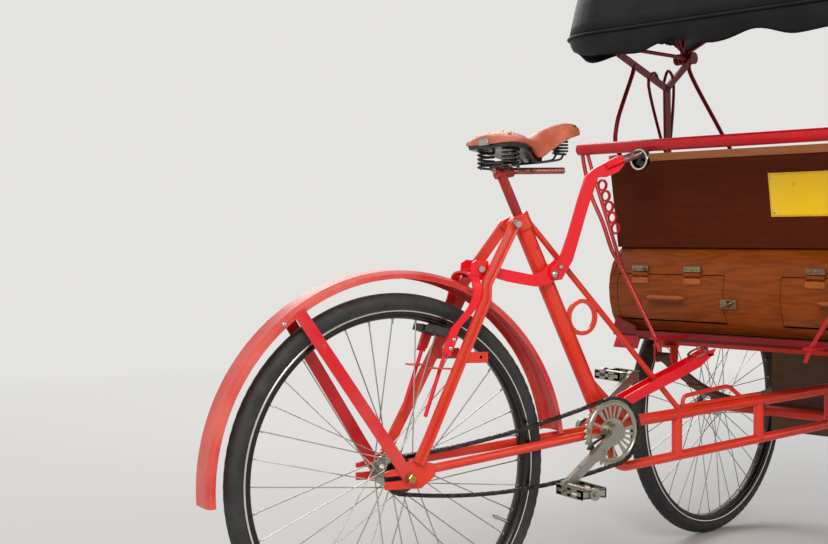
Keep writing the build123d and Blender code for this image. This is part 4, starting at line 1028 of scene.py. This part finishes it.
# Pedals: slotted steel platforms on the crank pins
pedal = {
    "from": 67.0, "to": 155.0, "bore": 5.4, "sleeve": 9, "boss": 13, "plateHalf": 2,
    "railAt": 29.5, "railHalf": 1.5,
    # two corners of each bar of an end plate, as x and z from the pin; each has a mirror image
    "bars": (((-30, 6), (30, 9)), ((8, -8), (31, 8))),
    # place along the side rails of the middle of each link, and its half length
    "links": ((9, 9), (44, 6), (79, 9)),
}
for name, side in (("right", -1), ("left", 1)):
    at = riderSpace.inverted() @ Vector(joints[name + "_pedal_spin"]["pos_m"])
    low, high = sorted((side * pedal["from"], side * pedal["to"]))
    mesh = bmesh.new()
    pin = Vector((at.x, 0, at.z))
    addWasher(mesh, pin, leftward, pedal["bore"], pedal["sleeve"], low, high, 20)
    for end in (low + 2, high - 2):
        for (x0, z0), (x1, z1) in pedal["bars"]:
            for way in (-1, 1):
                wayX, wayZ = (1, way) if x0 < 0 else (way, 1)
                addBox(
                    mesh, (at.x + wayX * x0, end - pedal["plateHalf"], at.z + wayZ * z0),
                    (at.x + wayX * x1, end + pedal["plateHalf"], at.z + wayZ * z1),
                )
    for edge in (-1, 1):
        edgeX = at.x + edge * pedal["railAt"]
        edgeFrom, edgeTo = edgeX - pedal["railHalf"], edgeX + pedal["railHalf"]
        for z in (-7.5, 7.5):
            addBox(mesh, (edgeFrom, low, at.z + z - 3.5), (edgeTo, high, at.z + z + 3.5))
        for along, half in pedal["links"]:
            addBox(mesh, (edgeFrom, low + along - half, at.z - 9), (edgeTo, low + along + half, at.z + 9))
    capEnds = sorted((side * (pedal["to"] - 2), side * (pedal["to"] + 5)))
    addWasher(mesh, pin, leftward, pedal["bore"], pedal["boss"], *capEnds, 24)
    makePiece(name + "PedalIron", mesh, "pedalMetal", name + "_pedal_body", name + "_pedal")
print("drive ready")

# Steering bar's struts: two strands, a row of scrolls and a thin stay down to the rail
strut = {
    "x": -540.0,
    "outer": ((414, 1023), (407, 989), (387, 924), (352, 859), (323, 791), (296, 760)),
    "inner": ((398, 1023), (385, 985), (303, 775), (300, 760), (195, 590), (184, 562)),
    "scrolls": ((354, 948), (314, 845)), "count": 5, "scroll": (9.5, 14.5, -2.5, 2.5), "footY": 195, "headY": 300,
}
mesh = bmesh.new()
for side in (-1, 1):
    addTube(mesh, curved([(strut["x"], side * y, z) for y, z in strut["outer"]], 4), 5)
    addTube(mesh, bent([(strut["x"], side * y, z) for y, z in strut["inner"]], 12), 4.5)
    (y0, z0), (y1, z1) = strut["scrolls"]
    for k in range(strut["count"]):
        share = k / (strut["count"] - 1)
        at = (strut["x"], side * (y0 + (y1 - y0) * share), z0 + (z1 - z0) * share)
        addWasher(mesh, at, (1, 0, 0), *strut["scroll"], 24)
    footY, headY = side * strut["footY"], side * strut["headY"]
    addBox(mesh, (strut["x"] - 10, footY - 12, 588), (-420, footY + 12, 594))
    addBox(mesh, (-520, headY - 12, 1033), (-446, headY + 12, 1039))
    addTube(mesh, ((strut["x"], headY, 1036), (-516, headY, 1036)), 6)
makePiece("strutIrons", mesh, "barPaint", "cab", "bar_struts")
bellCup = {
    "at": (-556.0, 219.0, 1002.0),
    "cup": ((0, 6), (1, 14), (4, 19), (10, 21.5), (20, 22.5), (20, 21), (10, 19.5), (5, 16), (3, 8), (3, 2)),
}
bellX, bellY, bellZ = bellCup["at"]
mesh = bmesh.new()
addLathe(mesh, bellCup["cup"], bellCup["at"], backward, 28)
addBox(mesh, (-548, bellY - 5, bellZ - 6), (-544, bellY + 5, 1026))
addTube(mesh, ((-545, bellY, bellZ), (-574, bellY, bellZ)), 4)
makePiece("bellCup", mesh, "blackWire", "cab", "bell")
mesh = bmesh.new()
addWasher(mesh, (bellX - 20, bellY, bellZ), backward, 20.5, 24, -1, 2, 40)
makePiece("bellRim", mesh, "chrome", "cab")

# Back board with a pale rail along its top
board = {"low": (-403.0, 800.3), "high": (-438.0, 1006.0), "half": 402.0, "thick": 12.0, "rail": 1024.0}
mesh = bmesh.new()
(lowX, lowZ), (highX, highZ) = board["low"], board["high"]
addRings(mesh, [
    [(lowX, y, lowZ), (highX, y, highZ), (highX - board["thick"], y, highZ), (lowX - board["thick"], y, lowZ)]
    for y in (-board["half"], board["half"])
])
makePiece("backBoard", mesh, "brown_panel", "cab", "back_panel")

# Raised edge and corner screws of the blank plate
blankPlate = {"from": -234.0, "to": -34.0, "low": 73.0, "high": 171.0, "face": 13.5, "rimInset": 3.0, "screwInset": 9.0}
boardUp = Vector((highX - lowX, 0, highZ - lowZ)).normalized()
boardOut = Vector((-boardUp.z, 0, boardUp.x))


def plateCorners(inset):
    places = (("from", "low", 1, 1), ("to", "low", -1, 1), ("to", "high", -1, -1), ("from", "high", 1, -1))
    return [
        Vector((lowX, blankPlate[y] + inset * a, lowZ))
        + boardUp * (blankPlate[along] + inset * b) + boardOut * blankPlate["face"]
        for y, along, a, b in places
    ]


mesh = bmesh.new()
addTube(mesh, plateCorners(blankPlate["rimInset"]), 1.4, 6, True)
makePiece("plateEdge", mesh, "plate", "cab")
mesh = bmesh.new()
for corner in plateCorners(blankPlate["screwInset"]):
    addDome(mesh, corner, boardOut, 3.2, 1.5)
makePiece("plateScrews", mesh, "steel", "cab")
mesh = bmesh.new()
addRings(mesh, [
    [(highX + 6, y, highZ), (highX + 5, y, board["rail"]), (highX - 16, y, board["rail"]), (highX - 15, y, highZ)]
    for y in (-board["half"], board["half"])
])
makePiece("backRail", mesh, "pale_wood", "cab", "top_rail")

# Hood irons: stem, two arms, side rods and a heart-shaped loop
irons = {
    "y": 404.5, "pivot": (-95.0, 1297.0), "pin": 6.0, "pinEnd": 462.0, "rod": 5.5, "thin": 4.0,
    "rear": ((-352, 1258), (-356, 1235), (-396, 1157), (-418, 1107), (-424, 1052), (-392, 1004), (-385, 900)),
    "front": ((-112, 1288), (-101, 1247), (45, 1102), (268, 880), (268, 800)),
    "heart": (
        (-210, 1040), (-194, 1081), (-182, 1219), (-208, 1253), (-234, 1210), (-264, 1243), (-290, 1210), (-237, 1079),
        (-214, 1040),
    ),
    # pairs of x and z along each flat bar, and its width
    "bars": (
        (((-203, 760), (-203, 915), (-212, 1209)), 24), (((-206, 1205), (-413, 1278)), 17),
        (((-218, 1203), (-88, 1304)), 17),
    ),
}
mesh = bmesh.new()
for side in (-1, 1):
    y = side * irons["y"]
    for line, wide in irons["bars"]:
        addBar(mesh, [(x, y, z) for x, z in line], wide, 7)
    for key, radius in (("rear", "rod"), ("front", "rod"), ("heart", "thin")):
        addTube(mesh, curved([(x, y, z) for x, z in irons[key]], 5), irons[radius])
    pivotX, pivotZ = irons["pivot"]
    addLathe(mesh, ((-4, 16), (4, 16)), (pivotX, y, pivotZ), leftward, 24)
    addTube(mesh, ((pivotX, side * 406, pivotZ), (pivotX, side * irons["pinEnd"], pivotZ)), irons["pin"], 16)
makePiece("hoodIrons", mesh, "iron_paint", "cab", "hood_stands")

# Trunk: boards that close its ends, door handles, hinge leaves, hasp and corner irons
trunk = {
    "outline": (
        (-403, 799), (-424, 783), (-441, 760), (-451, 733), (-455, 702), (-451.5, 668), (-441, 636), (-427, 613),
        (-415, 601), (-403, 601),
    ),
    "endSides": (386.5, 399), "hinges": (157.0, 305.0), "rivets": (-15, 0, 15), "leafHalf": 23,
    "handleZ": 682, "handle": ((-467, 172), (-468, 184), (-468, 262), (-467, 274)), "handleFeet": (185, 262),
    "angle": ((325, 585), (392, 585), (392, 604), (383, 630), (325, 609)),
}
mesh = bmesh.new()
for side in (-1, 1):
    addPlate(mesh, trunk["outline"], *[side * y for y in trunk["endSides"]])
makePiece("trunkEnds", mesh, "trunk_wood", "cab")
for name, side in (("left", 1), ("right", -1)):
    mesh = bmesh.new()
    handleZ = trunk["handleZ"]
    addTube(mesh, [(x, side * y, handleZ) for x, y in trunk["handle"]], (3, 5.5, 5.5, 3), 12)
    for y in trunk["handleFeet"]:
        addTube(mesh, ((-467, side * y, handleZ), (-452, side * y, handleZ)), 4)
    for y in trunk["hinges"]:
        addBox(mesh, (-457, side * y - trunk["leafHalf"], 714), (-452, side * y + trunk["leafHalf"], 728))
        for step in trunk["rivets"]:
            addDome(mesh, (-457, side * y + step, 719), backward, 3, 1.6)
    makePiece(name + "DoorIrons", mesh, "handleWood", name + "_door")
mesh = bmesh.new()
for side in (-1, 1):
    for y in trunk["hinges"]:
        addBox(mesh, (-456, side * y - trunk["leafHalf"], 743), (-450, side * y + trunk["leafHalf"], 756))
        for step in trunk["rivets"]:
            addDome(mesh, (-456, side * y + step, 750), backward, 3, 1.6)
addBox(mesh, (-458, 36, 662), (-452, 78, 682))
addWasher(mesh, (-462, 57, 672), leftward, 4, 8, -2.5, 2.5, 20)
addTube(mesh, bent(((-458, 44, 676), (-466, 44, 676), (-466, 70, 666), (-458, 70, 666)), 5), 2.5, 8)
makePiece("trunkIrons", mesh, "hingeMetal", "cab")
mesh = bmesh.new()
for side in (-1, 1):
    addRings(mesh, [[(x, side * y, z) for y, z in trunk["angle"]] for x in (-446, -440)])
    addBox(mesh, (-446, side * 325, 585), (-424, side * 392, 590))
addBox(mesh, (-446, -326, 585.5), (-428.5, 326, 598))
# the corner irons share the rail paint, darkened as painted shade of the trunk bottom
makePiece("cornerIrons", mesh, "railPaintWithShade", "cab")

# Saddle: leather top with a rolled edge, on coil springs
saddle = {
    # x, half width, top z, edge z
    "stations": (
        (217, 58, 1031, 1021), (224, 84, 1037, 1022), (240, 98, 1041, 1021), (260, 97, 1041, 1018),
        (278, 89, 1039, 1012), (298, 68, 1034, 1003), (318, 50, 1031, 995), (334, 44, 1036, 996),
        (350, 38, 1046, 1004), (365, 34, 1053, 1013), (395, 29, 1063, 1029), (420, 25, 1067, 1040),
        (440, 19, 1066, 1046), (452, 11, 1060, 1049),
    ),
    # the rolled edge: shares of the half width and of the skirt's depth
    "steps": 16, "skirt": 9.0, "roll": ((0.985, 0.6), (0.9, 0.7), (-0.9, 0.7), (-0.985, 0.6)),
    "coilX": 250, "coilY": 46, "coilZ": 967, "coilHigh": 42, "coilTurns": 5, "coilRadius": 17.0, "coilSteps": 14,
    "wire": 2.4, "cantleHigh": 15.0,
    "front": (
        (250, 31, 968), (262, 24, 972), (300, 14, 976), (350, 14, 981), (395, 14, 988), (404, 14, 996), (408, 14, 1002),
    ),
    "rivets": ((238, -60, 1036), (238, 60, 1036), (244, -25, 1040.5), (244, 25, 1040.5), (436, -12, 1061)),
}
mesh = bmesh.new()
rings = []
for x, half, top, edge in saddle["stations"]:
    ring = []
    for k in range(saddle["steps"] + 1):
        share = -1 + 2 * k / saddle["steps"]
        ring.append((x, half * share, edge + (top - edge) * (1 - abs(share) ** 2.4)))
    rings.append(ring + [(x, half * out, edge - saddle["skirt"] * down) for out, down in saddle["roll"]])
addRings(mesh, rings)
makePiece("saddleHide", mesh, "saddle_leather", "frame", "saddle_top", smoothAngle=50)
mesh = bmesh.new()
rings = []
for x, half, top, edge in saddle["stations"][1:8]:
    wide, foot = half * 0.93, edge - saddle["cantleHigh"]
    rings.append([(x, -wide, edge - 2), (x, wide, edge - 2), (x, wide * 0.9, foot), (x, -wide * 0.9, foot)])
addRings(mesh, rings)
makePiece("saddleCantle", mesh, "blackWire", "frame")
mesh = bmesh.new()
for x, y, z in saddle["rivets"]:
    addDome(mesh, (x, y, z), (-0.25 if x < 400 else 0.3, 0, 1), 4.5, 2.6)
makePiece("saddleRivets", mesh, "brass", "frame")
mesh = bmesh.new()
coilSteps, wire = saddle["coilSteps"], saddle["wire"]
wholeSteps = saddle["coilTurns"] * coilSteps
for side in (-1, 1):
    coil = []
    for k in range(wholeSteps + 1):
        turn = 2 * pi * k / coilSteps
        coil.append((
            saddle["coilX"] + saddle["coilRadius"] * cos(turn),
            side * (saddle["coilY"] + saddle["coilRadius"] * sin(turn)),
            saddle["coilZ"] + saddle["coilHigh"] * k / wholeSteps,
        ))
    addTube(mesh, coil, wire, 7)
    addTube(mesh, curved([(x, side * y, z) for x, y, z in saddle["front"]], 5), wire, 7)
    addTube(mesh, ((236.5, side * 31, 967), (236.5, side * 46, 967)), wire, 7)
turns = [2 * pi * k / coilSteps for k in range(wholeSteps + 1)]
noseCoil = [(408 + 15 * cos(turn), 17 * sin(turn), 1001 + 33 * k / wholeSteps) for k, turn in enumerate(turns)]
addTube(mesh, noseCoil, wire, 7)
for x in (236.5, 263.5):
    addTube(mesh, ((x, -46, 978), (x, 46, 978)), wire, 7)
addLathe(mesh, ((-24, 11), (24, 11)), (254.5, 0, 971), leftward, 16)
for y, axis in ((-24, rightward), (24, leftward)):
    addHexHead(mesh, (254.5, y, 971), axis, 15, 6)
makePiece("saddleWires", mesh, "blackWire", "frame", "saddle_springs")
mesh = bmesh.new()
addBox(mesh, (214, -18, 1013), (218, 18, 1026))
for side in (-1, 1):
    addDome(mesh, (214, side * 14, 1019), backward, 2.2, 1.2)
makePiece("saddleTab", mesh, "steel", "frame")
print("saddle ready")

# Nuts, bolts and screws
fittings = {
    # maker, place, axis, size, height
    "riderFittings": ("frame", "steel", (
        (addDome, (371, -33, 746), rightward, 9, 7),
        (addHexHead, (384, -33, 762), rightward, 11, 5),
        (addHexHead, (189, -29, 759), rightward, 16, 7),
        (addHexHead, (189, 15, 759), leftward, 16, 7),
        (addHexHead, (279, -26, 851), rightward, 18, 9),
        (addHexHead, (279, 26, 851), leftward, 18, 9),
        (addDome, (110, -55, 620), rightward, 5, 3),
        (addDome, (102, -55, 603), rightward, 5, 3),
        (addDome, (110, 55, 620), leftward, 5, 3),
        (addDome, (102, 55, 603), leftward, 5, 3),
        (addDome, (-249.5, -36.2, 661.6), rightward, 5, 2.5),
        (addDome, (-249.5, 36.2, 661.6), leftward, 5, 2.5),
    )),
    "brassNuts": ("frame", "brass", (
        (addHexHead, (0, -76, 357), rightward, 19, 7),
        (addHexHead, (0, 76, 357), leftward, 19, 7),
    )),
    "cabFittings": ("cab", "rusty_steel", (
        (addDome, (-446, 359, 608), backward, 5, 2.25),
        (addDome, (-446, 333, 603), backward, 5, 2.25),
        (addDome, (-446, -359, 608), backward, 5, 2.25),
        (addDome, (-446, -333, 603), backward, 5, 2.25),
        (addDome, (-470, 195, 596), upward, 6, 2.7),
        (addDome, (-470, -195, 596), upward, 6, 2.7),
    )),
}
for name, (body, finish, parts) in fittings.items():
    mesh = bmesh.new()
    for add, at, axis, size, height in parts:
        add(mesh, at, axis, size, height)
    makePiece(name, mesh, finish, body)
print("fittings ready")

# Hood: welts over the bows and a valance below the rear bow
welt = {"radius": 3.2, "rise": 2.5, "bodies": ("cab", "hood_second", "hood_third", "hood_front")}
rearInner = hood["sideInner"][0][1]
for count, body in enumerate(welt["bodies"]):
    angle = hood["angles"][count]
    inner = valueAlong(hood["sideInner"], angle) if count else rearInner
    mesh = bmesh.new()
    line = [
        hoodPoint(angle, radius, side * (1 + welt["rise"] / hood["half"]))
        for radius, side in hoodSection(inner, hood["reach"] + welt["rise"], hood["half"])
    ]
    addTube(mesh, line, welt["radius"], 8)
    makePiece("hoodWelt" + str(count + 1), mesh, "hood_vinyl", body)
valance = {
    # place round the rear bow as a share from the left end to the right end, and the drop below it
    "drops": (
        (0.0, 18), (0.08, 44), (0.16, 30), (0.24, 52), (0.34, 60), (0.42, 40), (0.5, 58),
        (0.58, 40), (0.66, 60), (0.76, 52), (0.84, 30), (0.92, 44), (1.0, 18),
    ),
    "steps": 96, "rows": 6, "inward": 14.0, "wave": 5.0,
}


def risingValue(table, place):
    for (a, first), (b, second) in zip(table, table[1:]):
        if place <= b:
            share = (place - a) / (b - a)
            return first + (second - first) * (3 - 2 * share) * share * share
    return table[-1][1]


mesh = bmesh.new()
section = [
    Vector((hood["pivotX"] - radius, side, hood["pivotZ"]))
    for radius, side in hoodSection(rearInner, hood["reach"], hood["half"])
]
lengths = [0.0]
for a, b in zip(section, section[1:]):
    lengths.append(lengths[-1] + (b - a).length)
middlePoint = Vector((hood["pivotX"] - 260, 0, hood["pivotZ"]))
rows = []
for k in range(valance["steps"] + 1):
    share = k / valance["steps"]
    goal = lengths[-1] * share
    span = max(i for i in range(len(lengths) - 1) if lengths[i] <= goal + 1e-6)
    at = section[span].lerp(section[span + 1], (goal - lengths[span]) / (lengths[span + 1] - lengths[span]))
    drop = risingValue(valance["drops"], share)
    toMiddle = (middlePoint - at).normalized()
    line = []
    for row in range(valance["rows"] + 1):
        down = row / valance["rows"]
        sway = valance["wave"] * sin(share * 61) * down
        inward = valance["inward"] * down * down + sway
        line.append(mesh.verts.new(at + Vector((0, 0, 2 - drop * down)) + toMiddle * inward))
    rows.append(line)
joinRows(mesh, rows)
valancePiece = makePiece("hoodValance", mesh, "hood_vinyl", "cab")
thicken = valancePiece.modifiers.new("cloth", "SOLIDIFY")
thicken.thickness = 2.0 * mm
applyModifiers(valancePiece)
print("hood trim ready")

# Camera at the photograph's place and angle
camera = bpy.data.objects.new("camera", bpy.data.cameras.new("camera"))
scene.collection.objects.link(camera)
photo = {"place": (-1.244, -2.249, 0.823), "heading": (0.4985, 0.8669), "down": 1.51, "lens": 56.52}
camera.location = Vector((hubPlace.x + photo["place"][0], hubPlace.y + photo["place"][1], photo["place"][2]))
heading = Vector((photo["heading"][0], photo["heading"][1], 0)).normalized() * cos(radians(photo["down"]))
heading.z = -sin(radians(photo["down"]))
camera.rotation_euler = heading.to_track_quat("-Z", "Y").to_euler()
camera.data.lens = photo["lens"]
camera.data.sensor_width = 36
camera.data.sensor_fit = "HORIZONTAL"
camera.data.clip_end = 200
scene.camera = camera

# Pale floor, soft daylight from above and soft lamps
floorMesh = bmesh.new()
bmesh.ops.create_grid(floorMesh, x_segments=1, y_segments=1, size=60)
floorData = bpy.data.meshes.new("floor")
floorMesh.to_mesh(floorData)
floorMesh.free()
floorPiece = bpy.data.objects.new("floor", floorData)
scene.collection.objects.link(floorPiece)
floorMaterial, tree, shader = newMaterial("pale floor")
backdrop = tint(228, 227, 224)
feed(tree, shader, Base_Color=tint(222, 220, 216), Roughness=0.9)
glow = addNode(tree, "ShaderNodeEmission", None, Color=backdrop)
away = addNode(tree, "ShaderNodeVectorMath", {"operation": "LENGTH"}, i0=objectPlace(tree)).outputs["Value"]
floorFade = {"from": 1.4, "to": 5.5}
share = rangeNode(tree, away, floorFade["from"], floorFade["to"])
blended = addNode(tree, "ShaderNodeMixShader", None, i0=share, i1=shader.outputs[0], i2=glow.outputs[0])
feed(tree, tree.nodes["Material Output"], Surface=blended.outputs[0])
floorData.materials.append(floorMaterial)

world = bpy.data.worlds.new("studio")
world.use_nodes = True
scene.world = world
tree = world.node_tree
background = tree.nodes["Background"]
paths = addNode(tree, "ShaderNodeLightPath").outputs
through = mathNode(tree, "MAXIMUM", paths["Is Glossy Ray"], paths["Is Transmission Ray"])
seen = mathNode(tree, "MAXIMUM", paths["Is Camera Ray"], through)
strength = rangeNode(tree, seen, 0.0, 1.0, 0.55, 1.0)
feed(tree, background, Color=mixNode(tree, seen, tint(196, 198, 204), backdrop), Strength=strength)

lamps = (
    # place, aim, size, power, colour
    ("key", (-3.5, -3.5, 4.2), (0.1, 0, 0.7), 2.6, 260, (1.0, 0.97, 0.93)),
    ("fill", (3.8, -3.0, 2.6), (0.2, 0, 0.7), 3.0, 90, (0.94, 0.97, 1.0)),
    ("back", (1.0, 4.5, 4.0), (0.1, 0, 0.8), 3.0, 120, (1.0, 1.0, 1.0)),
)
for name, place, aim, size, power, colour in lamps:
    lamp = bpy.data.objects.new(name, bpy.data.lights.new(name, "AREA"))
    lamp.data.size = size
    lamp.data.energy = power
    lamp.data.color = colour
    lamp.location = place
    lamp.rotation_euler = (Vector(aim) - Vector(place)).to_track_quat("-Z", "Y").to_euler()
    scene.collection.objects.link(lamp)
scene.view_settings.view_transform = "Standard"
